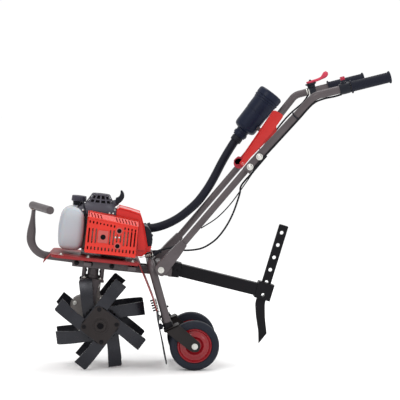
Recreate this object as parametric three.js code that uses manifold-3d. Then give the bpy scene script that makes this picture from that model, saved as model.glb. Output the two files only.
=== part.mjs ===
// Mini cultivator: a two-stroke engine on a steel deck drives a worm gearbox and four tine stars,
// with a pair of transport wheels, a drag bar and a two-arm handlebar behind.
//
// Frame of the machine: +X to the rear, +Y to the operator's right, +Z up, millimetres.
// The chassis (deck, engine, drive column) leans back by PITCH about the tine axle. Inside the
// chassis group +X runs along the deck and +Z square to it, both counted from the tine axle.
import * as THREE from 'three';
import { mergeVertices } from 'three/addons/utils/BufferGeometryUtils.js';
import Module from 'manifold-3d';

const wasm = await Module();
wasm.setup();

// ---------------------------------------------------------------- driving dimensions
const DEG = Math.PI / 180;
const GAP = 0.3; // clearance left between pieces that touch

const PITCH = 6.2; // degrees, nose up

const BLADE_WIDTH = 40;
const BLADE_THICKNESS = 5;
const BLADE_REACH = 149; // along the blade, from the axle
const BLADE_OFFSET = 33; // blade centre line to the axle
const BLADE_STRAIGHT = 85; // where the outer end starts to curve
const BLADE_BEND = 22; // how far the outer end stands sideways
const OUTER_STAR_ANGLE = 52;
const INNER_STAR_ANGLE = 97;
const OUTER_STAR_Y = 113;
const INNER_STAR_Y = 77;
const AXLE_RADIUS = 10;
const AXLE_HEIGHT = BLADE_REACH * Math.sin(OUTER_STAR_ANGLE * DEG)
  + (BLADE_OFFSET + BLADE_WIDTH / 2) * Math.cos(OUTER_STAR_ANGLE * DEG);

const COLUMN_X = -41; // crankshaft, drive shaft and worm share this line
const WORM_RADIUS = 10.5;
const WORM_WHEEL_RADIUS = -COLUMN_X - WORM_RADIUS - 0.6;

const DECK_TOP = 215;
const DECK_FRONT = -184;
const DECK_REAR = 101;
const DECK_HALF_WIDTH = 125;
const SHEET = 2.5;
const RAIL_TOP = 200;
const RAIL_HEIGHT = 25;
const RAIL_Y = 32;
const RAIL_WIDTH = 18;

const TUBE_RADIUS = 13;
const PIVOT_X = 175.2; // chassis coordinates of the handle pivot
const PIVOT_Z = 203.7;
const LEG_Y = 105;

const WHEEL_X = 306; // machine coordinates
const WHEEL_RADIUS = 81;
const WHEEL_WIDTH = 44;
const RIM_RADIUS = 56;

const HANDLE_SLOPE = 49.4;
const LOWER_TUBE_RADIUS = 11;
const HANDLE_TUBE_RADIUS = 12.5; // the upper tubes, with the grips
const LOWER_TUBE_Y = 138;
const UPPER_TUBE_Y = 164;
const GRIP_Y = 268;
const GRIP_SLOPE = 13.9;
const GRIP_RADIUS = 16.5;

const BAR_LEAN = 17; // depth bar from the vertical
const ARM_RISE = 12; // how far the drag arm starts above the middle of its tongue
const ARM_HALF_HEIGHT = 21;

// ---------------------------------------------------------------- materials
const finish = (color, roughness, metalness) =>
  new THREE.MeshStandardMaterial({ color, roughness, metalness });
const FRAME_PAINT = finish(0x5c5754, 0.45, 0.4);
const RED_PAINT = finish(0xb02420, 0.35, 0.1);
const BLACK_PAINT = finish(0x1c1b1f, 0.4, 0.3);
const TINE_STEEL = finish(0x24252c, 0.45, 0.6);
const STEEL = finish(0xb9b9b4, 0.3, 0.9);
const ALUMINIUM = finish(0x8b8d90, 0.5, 0.8);
const RED_PLASTIC = finish(0xd23a30, 0.35, 0.0);
const BLACK_PLASTIC = finish(0x202229, 0.5, 0.0);
const WHITE_PLASTIC = finish(0xd4d8dc, 0.45, 0.0);
const RUBBER = finish(0x2a2b31, 0.8, 0.0);
const TYRE_RUBBER = finish(0x3c424c, 0.8, 0.0);

// ---------------------------------------------------------------- solids and booleans
function solid(geometry) {
  const bare = geometry.clone();
  bare.deleteAttribute('normal');
  bare.deleteAttribute('uv');
  const merged = mergeVertices(bare, 1e-4);
  return new wasm.Manifold(new wasm.Mesh({
    numProp: 3,
    vertProperties: new Float32Array(merged.attributes.position.array),
    triVerts: new Uint32Array(merged.index.array),
  }));
}

function geometryOf(manifold) {
  const mesh = manifold.getMesh();
  const geometry = new THREE.BufferGeometry();
  geometry.setAttribute('position', new THREE.BufferAttribute(mesh.vertProperties, 3));
  geometry.setIndex(new THREE.BufferAttribute(mesh.triVerts, 1));
  return geometry;
}

const join = (first, ...others) =>
  geometryOf(others.reduce((sum, other) => sum.add(solid(other)), solid(first)));
const cut = (base, ...tools) =>
  geometryOf(tools.reduce((rest, tool) => rest.subtract(solid(tool)), solid(base)));
const common = (a, b) => geometryOf(solid(a).intersect(solid(b)));

// ---------------------------------------------------------------- basic shapes
function block(x0, x1, y0, y1, z0, z1) {
  const box = new THREE.BoxGeometry(x1 - x0, y1 - y0, z1 - z0);
  return box.translate((x0 + x1) / 2, (y0 + y1) / 2, (z0 + z1) / 2);
}

// A shape whose corners [x, y, radius] are rounded where a radius is given.
function outline(corners, segments = 4) {
  const shape = new THREE.Shape();
  corners.forEach(([x, y, radius = 0], i) => {
    const here = new THREE.Vector2(x, y);
    const before = new THREE.Vector2(...corners.at(i - 1).slice(0, 2)).sub(here);
    const after = new THREE.Vector2(...corners[(i + 1) % corners.length].slice(0, 2)).sub(here);
    const setback = Math.min(radius, 0.45 * before.length(), 0.45 * after.length());
    const enter = before.setLength(setback).add(here);
    const leave = after.setLength(setback).add(here);
    if (i === 0) shape.moveTo(enter.x, enter.y);
    else shape.lineTo(enter.x, enter.y);
    if (radius > 0) shape.quadraticCurveTo(here.x, here.y, leave.x, leave.y);
  });
  shape.closePath();
  shape.smoothness = segments;
  return shape;
}

function circle(radius, x = 0, y = 0, segments = 20) {
  const shape = new THREE.Shape();
  for (let i = 0; i < segments; i += 1) {
    const angle = (i / segments) * 2 * Math.PI;
    const point = [x + radius * Math.cos(angle), y + radius * Math.sin(angle)];
    if (i === 0) shape.moveTo(...point);
    else shape.lineTo(...point);
  }
  shape.closePath();
  return shape;
}

// An outline in X and Z, given depth along Y; or an outline in X and Y, given height along Z.
const extrude = (shape, depth) => new THREE.ExtrudeGeometry(shape, {
  depth, bevelEnabled: false, curveSegments: shape.smoothness ?? 4,
});
const slab = (shape, y0, y1) => extrude(shape, y1 - y0).rotateX(Math.PI / 2).translate(0, y1, 0);
const plate = (shape, z0, z1) => extrude(shape, z1 - z0).translate(0, 0, z0);

const UP = new THREE.Vector3(0, 1, 0);
const vector = (point) => new THREE.Vector3(...point);

function rod(radius, from, to, sides = 12) {
  const start = vector(from);
  const along = vector(to).sub(start);
  const cylinder = new THREE.CylinderGeometry(radius, radius, along.length(), sides);
  cylinder.translate(0, along.length() / 2, 0);
  cylinder.applyQuaternion(new THREE.Quaternion().setFromUnitVectors(UP, along.normalize()));
  return cylinder.translate(...start.toArray());
}

// A profile of [radius, height] pairs turned about a line that starts at a point. The profile
// may run either way round.
function turned(profile, origin, direction, sides = 20) {
  const points = profile.map(([r, h]) => new THREE.Vector2(r, h));
  const area = points.reduce((sum, p, i) => sum + p.cross(points[(i + 1) % points.length]), 0);
  if (area < 0) points.reverse();
  const lathe = new THREE.LatheGeometry(points, sides);
  const turn = new THREE.Quaternion().setFromUnitVectors(UP, vector(direction).normalize());
  return lathe.applyQuaternion(turn).translate(...origin);
}

// The path of a bent tube: straight runs between corner points, with a round bend at each
// inner corner. A ring of the tube falls only where the shape needs one.
class BentPath extends THREE.Curve {
  constructor(points, bendRadius, ringsPerBend) {
    super();
    this.stations = [];
    const corners = points.map(vector);
    const last = corners.length - 1;
    corners.forEach((corner, i) => {
      if (i === 0 || i === last) {
        const run = i === 0 ? corners[1].clone().sub(corner) : corner.clone().sub(corners[i - 1]);
        this.stations.push({ point: corner, tangent: run.normalize() });
        return;
      }
      const arrive = corner.clone().sub(corners[i - 1]).normalize();
      const depart = corners[i + 1].clone().sub(corner).normalize();
      const angle = arrive.angleTo(depart);
      const setback = bendRadius * Math.tan(angle / 2);
      const inward = depart.clone().sub(arrive).normalize();
      const centre = corner.clone().addScaledVector(inward, bendRadius / Math.cos(angle / 2));
      const spoke = corner.clone().addScaledVector(arrive, -setback).sub(centre);
      const axis = arrive.clone().cross(depart).normalize();
      for (let ring = 0; ring <= ringsPerBend; ring += 1) {
        const turn = (angle * ring) / ringsPerBend;
        this.stations.push({
          point: spoke.clone().applyAxisAngle(axis, turn).add(centre),
          tangent: arrive.clone().applyAxisAngle(axis, turn),
        });
      }
    });
  }

  station(u) {
    return this.stations[Math.round(u * (this.stations.length - 1))];
  }

  getPointAt(u, target = new THREE.Vector3()) {
    return target.copy(this.station(u).point);
  }

  getTangentAt(u, target = new THREE.Vector3()) {
    return target.copy(this.station(u).tangent);
  }
}

function bentTube(points, radius, bendRadius, { sides = 10, rings = 4 } = {}) {
  const path = new BentPath(points, bendRadius, rings);
  const settings = { extrudePath: path, steps: path.stations.length - 1, bevelEnabled: false };
  return new THREE.ExtrudeGeometry(circle(radius, 0, 0, sides), settings);
}

function smoothTube(points, radius, sides, steps) {
  const extrudePath = new THREE.CatmullRomCurve3(points.map(vector));
  const settings = { extrudePath, steps, bevelEnabled: false };
  return new THREE.ExtrudeGeometry(circle(radius, 0, 0, sides), settings);
}

// ---------------------------------------------------------------- the assembly
const machine = new THREE.Group();
const chassis = new THREE.Group();
chassis.rotation.y = PITCH * DEG;
chassis.position.z = AXLE_HEIGHT;
machine.add(chassis);

function place(name, geometry, material, parent = machine) {
  const mesh = new THREE.Mesh(geometry, material);
  mesh.name = name;
  parent.add(mesh);
  return mesh;
}

// Chassis coordinates to machine coordinates, for pieces that leave the chassis.
function fromChassis(x, y, z) {
  const turn = new THREE.Vector3(x, y, z).applyAxisAngle(new THREE.Vector3(0, 1, 0), PITCH * DEG);
  return [turn.x, turn.y, turn.z + AXLE_HEIGHT];
}

const sides = [['left', -1], ['right', 1]];

// ---------------------------------------------------------------- chassis steelwork
const RECEIVER_X = 206;
const RECEIVER_LENGTH = 34;

function mainFrame() {
  const bottom = RAIL_TOP - RAIL_HEIGHT;
  const rails = [-1, 1].map((s) => block(
    -112, 216, s * RAIL_Y - RAIL_WIDTH / 2, s * RAIL_Y + RAIL_WIDTH / 2, bottom, RAIL_TOP));
  const crossPlates = [[-74, -50], [70, 96]].map(([x0, x1]) =>
    block(x0, x1, -DECK_HALF_WIDTH + 8, DECK_HALF_WIDTH - 8, RAIL_TOP - 12, RAIL_TOP));
  const pivotTube = rod(15, [PIVOT_X, -86, PIVOT_Z], [PIVOT_X, 86, PIVOT_Z], 12);
  const pivotPins = rod(6, [PIVOT_X, -158, PIVOT_Z], [PIVOT_X, 158, PIVOT_Z], 10);
  const receiver = block(
    RECEIVER_X, RECEIVER_X + RECEIVER_LENGTH, -25, 25, bottom - 4, RAIL_TOP + 4);
  const columnCollar = block(COLUMN_X - 24, COLUMN_X + 24, -30, 30, bottom + 4, RAIL_TOP);
  const body = join(...rails, ...crossPlates, pivotTube, pivotPins, receiver, columnCollar);
  const slot = block(RECEIVER_X + 4, RECEIVER_X + RECEIVER_LENGTH + 1, -20.5, 20.5,
    bottom + 0.5, RAIL_TOP - 0.5);
  const columnHole = rod(19.5, [COLUMN_X, 0, bottom - 1], [COLUMN_X, 0, RAIL_TOP + 1], 16);
  return cut(body, slot, columnHole);
}

// Stem of bent tube with a bare tube welded across its top, turned back over the tank.
function frontHandle() {
  const stem = bentTube(
    [[-75, 0, 194], [-150, 0, 196], [-206, 0, 202], [-256, 0, 232], [-256, 0, 356]], TUBE_RADIUS, 34,
    { sides: 10 });
  const grip = rod(TUBE_RADIUS, [-262, 14, 357], [-198, -132, 357], 14);
  const bore = rod(TUBE_RADIUS - 2.5, [-219, -84, 357], [-196, -136.6, 357], 12);
  return cut(join(stem, grip), bore);
}

const flapLine = [[110, 203], [167.5, 93], [178.7, 66]];

function deckGuard() {
  const corners = (inset) => [
    [DECK_FRONT + inset, -DECK_HALF_WIDTH + inset, 42], [DECK_REAR, -DECK_HALF_WIDTH + inset],
    [DECK_REAR, DECK_HALF_WIDTH - inset], [DECK_FRONT + inset, DECK_HALF_WIDTH - inset, 42]];
  const tray = cut(
    plate(outline(corners(0), 5), DECK_TOP - 13, DECK_TOP),
    plate(outline(corners(SHEET), 5), DECK_TOP - 14, DECK_TOP - SHEET));
  const rearFlap = slab(outline([
    [DECK_REAR - 3, DECK_TOP - SHEET], [DECK_REAR - 3, DECK_TOP], [DECK_REAR + 3, DECK_TOP],
    [flapLine[0][0] + 1, flapLine[0][1]], [flapLine[1][0], flapLine[1][1]],
    [flapLine[2][0], flapLine[2][1]], [flapLine[2][0] - SHEET, flapLine[2][1]],
    [flapLine[1][0] - SHEET, flapLine[1][1] - 1], [flapLine[0][0] - 2, flapLine[0][1] - 2],
    [DECK_REAR + 1, DECK_TOP - SHEET]]), -DECK_HALF_WIDTH, DECK_HALF_WIDTH);
  const frontFlap = slab(outline([
    [DECK_FRONT, DECK_TOP - 8], [DECK_FRONT + SHEET, DECK_TOP - 8],
    [DECK_FRONT - 20, DECK_TOP - 35], [DECK_FRONT - 22.5, DECK_TOP - 34]]), -80, 80);
  const stemNotch = block(-215, -174, -TUBE_RADIUS - 3, TUBE_RADIUS + 3, 172, DECK_TOP + 1);
  const railNotches = [-1, 1].map((s) => block(
    98, 150, s * RAIL_Y - RAIL_WIDTH / 2 - 2, s * RAIL_Y + RAIL_WIDTH / 2 + 2, 172, RAIL_TOP + 1));
  const columnHole = block(COLUMN_X - 32, COLUMN_X + 32, -32, 32, DECK_TOP - 10, DECK_TOP + 1);
  return cut(join(tray, rearFlap, frontFlap), stemNotch, ...railNotches, columnHole);
}

function rubberFlap() {
  const line = [[181, 76], [192.4, 14], [211, -42], [229, -104]];
  const near = line.map(([x, z]) => [x - 4, z]);
  return slab(outline([...line, ...near.reverse()]), -DECK_HALF_WIDTH + 4, DECK_HALF_WIDTH - 4);
}

// Inverted U of tube; its hollow legs carry the fork stems.
const LEG_TOP = [143, 213.7];
const LEG_BOTTOM = [222, 15];
const legDirection = new THREE.Vector2(LEG_BOTTOM[0] - LEG_TOP[0], LEG_BOTTOM[1] - LEG_TOP[1])
  .normalize();
const legPoint = (distance, y) => [
  LEG_TOP[0] + legDirection.x * distance, y, LEG_TOP[1] + legDirection.y * distance];
const LEG_LENGTH = 212;
const STEM_RADIUS = 9.5;
const FORK_TRAVEL = 60;

function wheelLegs() {
  const tube = bentTube(
    [legPoint(LEG_LENGTH, -LEG_Y), legPoint(0, -LEG_Y), legPoint(0, LEG_Y),
      legPoint(LEG_LENGTH, LEG_Y)], TUBE_RADIUS, 38, { sides: 12, rings: 5 });
  const bores = [-LEG_Y, LEG_Y].map((y) =>
    rod(10.4, legPoint(50, y), legPoint(LEG_LENGTH + 5, y), 12));
  const cablePlate = block(141.5, 144.5, -64, 58, 222, 248);
  return cut(join(tube, cablePlate), ...bores);
}

// ---------------------------------------------------------------- drive column and gearbox
const COLUMN_TOP = 214;
const COLUMN_BOTTOM = 134;

function driveColumn() {
  const tube = rod(18, [COLUMN_X, 0, COLUMN_BOTTOM - 6], [COLUMN_X, 0, COLUMN_TOP], 16);
  const flange = rod(31, [COLUMN_X, 0, COLUMN_BOTTOM - 6], [COLUMN_X, 0, COLUMN_BOTTOM], 16);
  const ears = block(COLUMN_X - 31, COLUMN_X + 31, -29, 29, COLUMN_BOTTOM, COLUMN_BOTTOM + 5);
  const frontPost = block(COLUMN_X - 30, COLUMN_X - 22, -12, 12, COLUMN_BOTTOM, 174);
  const rearPost = block(COLUMN_X + 22, COLUMN_X + 30, -12, 12, COLUMN_BOTTOM - 4, 174);
  const strap = slab(outline([
    [-62, 137], [-62, 126], [-49, 46, 6], [-33, 46, 6], [-16, 126], [-16, 137]]), -36, -31);
  const strapFoot = block(COLUMN_X - 21, COLUMN_X + 25, -36, -28, COLUMN_BOTTOM, COLUMN_BOTTOM + 5);
  const holes = [118, 98, 78].map((z) => rod(4.5, [-40, -40, z], [-40, -29, z], 10));
  const bore = rod(12, [COLUMN_X, 0, COLUMN_BOTTOM - 8], [COLUMN_X, 0, COLUMN_TOP + 1], 16);
  return cut(join(tube, flange, ears, frontPost, rearPost, strap, strapFoot), bore, ...holes);
}

const CASE_HALF_WIDTH = 28;
const CASE_WALL = 5;

function gearboxHalf(s) {
  const outer = (grow) => outline([
    [-100 - grow, 66 + grow, 14], [-100 - grow, -8 - grow, 30], [-52, -52 - grow, 20],
    [20, -52 - grow, 26], [52 + grow, -20, 26], [50 + grow, 30, 22], [6 + grow, 66, 14],
    [-12 + grow, 84, 8], [-12 + grow, 127 + grow * 4], [-70 - grow, 127 + grow * 4],
    [-70 - grow, 80, 8]], 2);
  const inner = CASE_HALF_WIDTH - CASE_WALL;
  const [near, far] = s < 0 ? [-CASE_HALF_WIDTH, -GAP / 2] : [GAP / 2, CASE_HALF_WIDTH];
  const [hollowNear, hollowFar] = s < 0 ? [-inner, 1] : [-1, inner];
  const shell = cut(slab(outer(0), near, far), slab(outer(-CASE_WALL), hollowNear, hollowFar));
  const boss = rod(26, [0, s * inner, 0], [0, s * (CASE_HALF_WIDTH + 6), 0], 18);
  const axleHole = rod(AXLE_RADIUS + 3.2, [0, s * 5, 0], [0, s * 60, 0], 18);
  const shaftHole = rod(11, [COLUMN_X, 0, 100], [COLUMN_X, 0, 135], 16);
  return cut(join(shell, boss), axleHole, shaftHole);
}

function driveShaft() {
  const shaft = [[0, 224], [6, 224], [6, 26]];
  const worm = [];
  const pitch = 11;
  for (let i = 0; i < 4; i += 1) {
    const z = 22 - i * pitch;
    worm.push([8, z], [WORM_RADIUS, z - 2], [WORM_RADIUS, z - 5], [8, z - 7]);
  }
  const profile = [...shaft, ...worm, [6, -25], [6, -40], [0, -40]];
  return turned(profile, [COLUMN_X, 0, 0], [0, 0, 1], 10);
}

// ---------------------------------------------------------------- tines
function wormWheel() {
  const teeth = 20;
  const shape = new THREE.Shape();
  for (let i = 0; i < teeth; i += 1) {
    [[0, WORM_WHEEL_RADIUS], [0.35, WORM_WHEEL_RADIUS], [0.5, 26], [0.85, 26]].forEach(([f, r]) => {
      const angle = ((i + f) / teeth) * 2 * Math.PI;
      const method = i === 0 && f === 0 ? 'moveTo' : 'lineTo';
      shape[method](r * Math.cos(angle), r * Math.sin(angle));
    });
  }
  shape.closePath();
  const bore = rod(AXLE_RADIUS + GAP, [0, -20, 0], [0, 20, 0], 16);
  return cut(slab(shape, -10, 10), bore);
}

// One blade: a flat bar laid beside the axle, its outer end curved sideways.
function blade(angle, y, bend) {
  const start = -30;
  const points = [[start, 0], [BLADE_STRAIGHT, 0]];
  const steps = 4;
  for (let i = 1; i <= steps; i += 1) {
    const t = i / steps;
    const along = BLADE_STRAIGHT + (BLADE_REACH - BLADE_STRAIGHT) * t;
    points.push([along, bend * BLADE_BEND * t ** 1.6]);
  }
  const half = BLADE_THICKNESS / 2;
  const shape = new THREE.Shape();
  points.forEach(([s, w], i) => (i === 0 ? shape.moveTo(s, w - half) : shape.lineTo(s, w - half)));
  [...points].reverse().forEach(([s, w]) => shape.lineTo(s, w + half));
  shape.closePath();
  const bar = extrude(shape, BLADE_WIDTH);
  bar.translate(0, 0, BLADE_OFFSET - BLADE_WIDTH / 2);
  return bar.rotateY(-angle * DEG).translate(0, y, 0);
}

function tineStar(firstAngle, y, bend) {
  const blades = [0, 90, 180, 270].map((turn) => blade(firstAngle + turn, y, bend));
  const starPlate = slab(circle(30, 0, 0, 16), y - BLADE_THICKNESS / 2, y + BLADE_THICKNESS / 2);
  const bore = rod(20.4, [0, y - 10, 0], [0, y + 10, 0], 16);
  return cut(join(...blades, starPlate), bore);
}

// Sleeve on the axle, with a square plate that backs each star.
function tineHub(s) {
  const sleeve = rod(20, [0, s * 60, 0], [0, s * (OUTER_STAR_Y + 9), 0], 16);
  const inset = BLADE_THICKNESS / 2 + GAP;
  const flange = (y) => slab(circle(47, 0, 0, 16), y, y + 4);
  const outerFlange = s > 0 ? OUTER_STAR_Y + inset : -OUTER_STAR_Y - inset - 4;
  const innerFlange = s > 0 ? INNER_STAR_Y - inset - 4 : -INNER_STAR_Y + inset;
  const bore = rod(AXLE_RADIUS + GAP, [0, s * 50, 0], [0, s * 130, 0], 16);
  return cut(join(sleeve, flange(outerFlange), flange(innerFlange)), bore);
}

// ---------------------------------------------------------------- engine
function clutchHousing() {
  return turned([
    [15, DECK_TOP + GAP], [47, DECK_TOP + GAP], [47, 236], [38, 236], [38, DECK_TOP + 6],
    [15, DECK_TOP + 6], [15, DECK_TOP + GAP]], [COLUMN_X, 0, 0], [0, 0, 1]);
}

function crankcase() {
  const body = plate(outline([
    [-94, -42, 12], [22, -42, 12], [22, 42, 12], [-94, 42, 12]], 3), 236.5, 348);
  const foot = block(-20, 60, -46, 46, DECK_TOP + GAP, 228);
  const riser = block(8, 22, -40, 40, 226, 240);
  const outer = cut(join(body, foot, riser),
    rod(47.5, [COLUMN_X, 0, DECK_TOP], [COLUMN_X, 0, 236.4], 20));
  const shaftBore = rod(7.5, [COLUMN_X, 0, 230], [COLUMN_X, 0, 352], 14);
  const crankRoom = rod(32, [COLUMN_X, 0, 262], [COLUMN_X, 0, 320], 16);
  return cut(outer, shaftBore, crankRoom);
}

function crankshaft() {
  return turned([
    [0, 227], [30, 227], [30, 233], [6, 233], [6, 270], [26, 270], [26, 280], [6, 280], [6, 300],
    [26, 300], [26, 310], [6, 310], [6, 352], [44, 352], [44, 360], [12, 364], [0, 364]],
  [COLUMN_X, 0, 0], [0, 0, 1], 10);
}

// Clutch drum on top of the drive shaft.
function clutchDrum() {
  return turned([
    [6.3, 222], [33, 222], [33, 234], [35.5, 234], [35.5, DECK_TOP + 6.5], [6.3, DECK_TOP + 6.5],
    [6.3, 222]], [COLUMN_X, 0, 0], [0, 0, 1], 20);
}

function cylinder() {
  const barrel = rod(27, [22.4, 0, 292], [104, 0, 292], 14);
  const fins = [];
  for (let x = 34; x < 100; x += 16) {
    fins.push(block(x, x + 3, -42, 42, 252, 332));
  }
  const port = block(44, 74, -50, -20, 276, 308);
  const intake = block(44, 74, 20, 50, 276, 308);
  return join(barrel, port, intake, ...fins);
}

function cylinderCover() {
  const shape = (inset) => outline([
    [24, 244, 0], [24, 384 - inset, 8], [94 - inset / 2, 371 - inset, 14],
    [109 - inset, 334, 8], [129 - inset, 262, 8], [127 - inset, 244, 0]]);
  const shell = cut(slab(shape(0), -60, 60), slab(shape(3), -57, 57));
  const window = block(20, 82, -62, -50, 240, 350);
  const intakeWindow = block(40, 80, 50, 62, 262, 322);
  return cut(shell, window, intakeWindow, block(20, 27.5, -58, 58, 240, 350));
}

function sparkPlugCap() {
  return slab(outline([[110.6, 331, 0], [122, 331, 6], [142, 286, 8], [140, 264, 6],
    [129.3, 264, 0]], 3), -42, 42);
}

function muffler() {
  return slab(outline([
    [-66, 242, 14], [-64, 326, 14], [66, 320, 14], [70, 242, 14]], 3), -98, -50.5);
}

function mufflerGuard() {
  const side = (inset) => outline([
    [-77 + inset, 232], [-73 + inset, 366 - inset], [88 - inset, 350 - inset], [90 - inset, 228]]);
  const bevel = (inset) => new THREE.Shape([
    new THREE.Vector2(-112 + inset, 200), new THREE.Vector2(-112 + inset, 334 - inset),
    new THREE.Vector2(-86 + inset, 362 - inset), new THREE.Vector2(-86 + inset, 400),
    new THREE.Vector2(-64, 400), new THREE.Vector2(-64, 200)]);
  const across = (shape) => extrude(shape, 200).rotateX(Math.PI / 2).rotateZ(Math.PI / 2)
    .translate(-100, 0, 0);
  const outer = common(slab(side(0), -112, -64), across(bevel(0)));
  const hollow = common(slab(side(2.5), -109.5, -60), across(bevel(2.5)));
  const slots = [];
  for (let i = 0; i < 9; i += 1) {
    const x = -56 + i * 15.5;
    slots.push(block(x, x + 6, -120, -105, 256, 312));
  }
  return cut(outer, hollow, ...slots.filter((slot, i) => i !== 3 && i !== 4));
}

function carburettor() {
  const body = block(46, 76, 61, 92, 270, 318);
  const flange = block(42, 80, 50.5, 62, 264, 320);
  return join(body, flange, rod(15, [61, 90, 294], [61, 98, 294], 14));
}

function intakeElbow() {
  const start = [61, 99.2, 294];
  return bentTube([start, [61, 142, 296], [104, 100, 308], [123, 96.5, 312]], 17, 20,
    { sides: 10, rings: 4 });
}

const FILLER_NECK = [-112, 40];

function fuelTank() {
  const section = outline([
    [-166, 236, 20], [-168, 354, 22], [-92, 344, 22], [-97, 232, 16]], 4);
  const plan = outline([[-175, -78, 34], [-97.5, -78, 20], [-97.5, 72, 12], [-175, 72, 34]], 4);
  const shell = common(slab(section, -78, 72), plate(plan, 220, 366));
  const [neckX, neckY] = FILLER_NECK;
  const neck = rod(15, [neckX, neckY, 340], [neckX, neckY, 383.7], 14);
  const mouth = rod(11, [neckX, neckY, 300], [neckX, neckY, 390], 10);
  return cut(join(shell, neck), mouth);
}

function fuelCap() {
  return turned([
    [0, 384], [21, 384], [21, 399], [19, 402], [0, 402]],
  [...FILLER_NECK, 0], [0, 0, 1], 16);
}

const STARTER_BASE = 350;

function starterHousing() {
  const shell = turned([
    [49, STARTER_BASE], [54, STARTER_BASE], [54, 384], [47, 391], [31, 416], [12, 418],
    [12, 414], [29, 412], [43, 389], [49, 382], [49, STARTER_BASE]], [COLUMN_X, 0, 0], [0, 0, 1], 16);
  const lugs = [40, 140, 220, 320].map((angle) => {
    const [x, y] = [Math.cos(angle * DEG), Math.sin(angle * DEG)];
    return rod(8, [COLUMN_X + x * 57, y * 57, STARTER_BASE], [COLUMN_X + x * 57, y * 57, 372], 8);
  });
  const outlet = rod(9, [COLUMN_X + 47, 0, 392], [COLUMN_X + 60, 0, 398], 10);
  const skirt = cut(
    block(-94, 20, -56, 20, STARTER_BASE, STARTER_BASE + 10),
    rod(51, [COLUMN_X, 0, 300], [COLUMN_X, 0, 400], 16));
  const ropeHole = rod(3.5, [COLUMN_X + 30, 0, 384.2], [COLUMN_X + 70, 0, 402.6], 8);
  return cut(join(shell, ...lugs, outlet, skirt), ropeHole);
}

function starterReel() {
  return turned([
    [0, 371], [38, 371], [38, 374], [30, 374], [30, 383], [36, 383], [36, 386], [8, 386],
    [8, 400], [0, 400]], [COLUMN_X, 0, 0], [0, 0, 1], 16);
}

const ROPE_START = [COLUMN_X + 58, 397.1];
const PULL_DIRECTION = [0.909, 0.417];

function starterHandle() {
  const body = slab(outline([
    [21, 397, 4], [10, 391, 4], [16, 386, 4], [30, 402, 6], [36, 420, 5], [27, 424, 4],
    [26, 437, 4], [20, 432, 4]], 3), -11, 11);
  return cut(body.translate(10, 0, 4), rod(2.4, [10, 0, 393.6], [26, 0, 400.9], 6));
}

// ---------------------------------------------------------------- chassis pieces in place
const onChassis = (name, geometry, material) => place(name, geometry, material, chassis);

onChassis('main_frame', mainFrame(), FRAME_PAINT);
onChassis('front_handle', frontHandle(), FRAME_PAINT);
onChassis('deck_guard', deckGuard(), RED_PAINT);
onChassis('rubber_flap', rubberFlap(), RUBBER);
onChassis('wheel_legs', wheelLegs(), FRAME_PAINT);
onChassis('drive_column', driveColumn(), FRAME_PAINT);
onChassis('gearbox_case_left', gearboxHalf(-1), ALUMINIUM);
onChassis('gearbox_case_right', gearboxHalf(1), ALUMINIUM);
onChassis('drive_shaft', driveShaft(), STEEL);
onChassis('clutch_drum', clutchDrum(), STEEL);
onChassis('clutch_housing', clutchHousing(), ALUMINIUM);
onChassis('crankcase', crankcase(), ALUMINIUM);
onChassis('crankshaft', crankshaft(), STEEL);
onChassis('cylinder', cylinder(), ALUMINIUM);
onChassis('cylinder_cover', cylinderCover(), RED_PLASTIC);
onChassis('spark_plug_cap', sparkPlugCap(), RUBBER);
onChassis('muffler', muffler(), STEEL);
onChassis('muffler_guard', mufflerGuard(), RED_PLASTIC);
onChassis('carburettor', carburettor(), ALUMINIUM);
onChassis('intake_elbow', intakeElbow(), RUBBER);
onChassis('fuel_tank', fuelTank(), WHITE_PLASTIC);
onChassis('fuel_cap', fuelCap(), BLACK_PLASTIC);
onChassis('starter_housing', starterHousing(), BLACK_PLASTIC);
onChassis('starter_reel', starterReel(), BLACK_PLASTIC);
onChassis('starter_handle', starterHandle(), BLACK_PLASTIC);
onChassis('starter_rope', rod(1.8, [ROPE_START[0] - 4, 0, ROPE_START[1] - 1.8],
  [ROPE_START[0] + 8, 0, ROPE_START[1] + 3.7], 6), WHITE_PLASTIC);

// ---------------------------------------------------------------- tine rotor in place
const rotor = new THREE.Group();
rotor.position.z = AXLE_HEIGHT;
machine.add(rotor);
place('tine_axle', rod(AXLE_RADIUS, [0, -126, 0], [0, 126, 0], 16), STEEL, rotor);
place('worm_wheel', wormWheel(), STEEL, rotor);
for (const [name, s] of sides) {
  place(`tine_hub_${name}`, tineHub(s), TINE_STEEL, rotor);
  place(`tines_${name}_outer`, tineStar(OUTER_STAR_ANGLE, s * OUTER_STAR_Y, -s), TINE_STEEL, rotor);
  place(`tines_${name}_inner`, tineStar(INNER_STAR_ANGLE, s * INNER_STAR_Y, -s), TINE_STEEL, rotor);
}

// ---------------------------------------------------------------- transport wheels
const FORK_PLATE = 4;
const FORK_HALF_WIDTH = WHEEL_WIDTH / 2 + 7;

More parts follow.
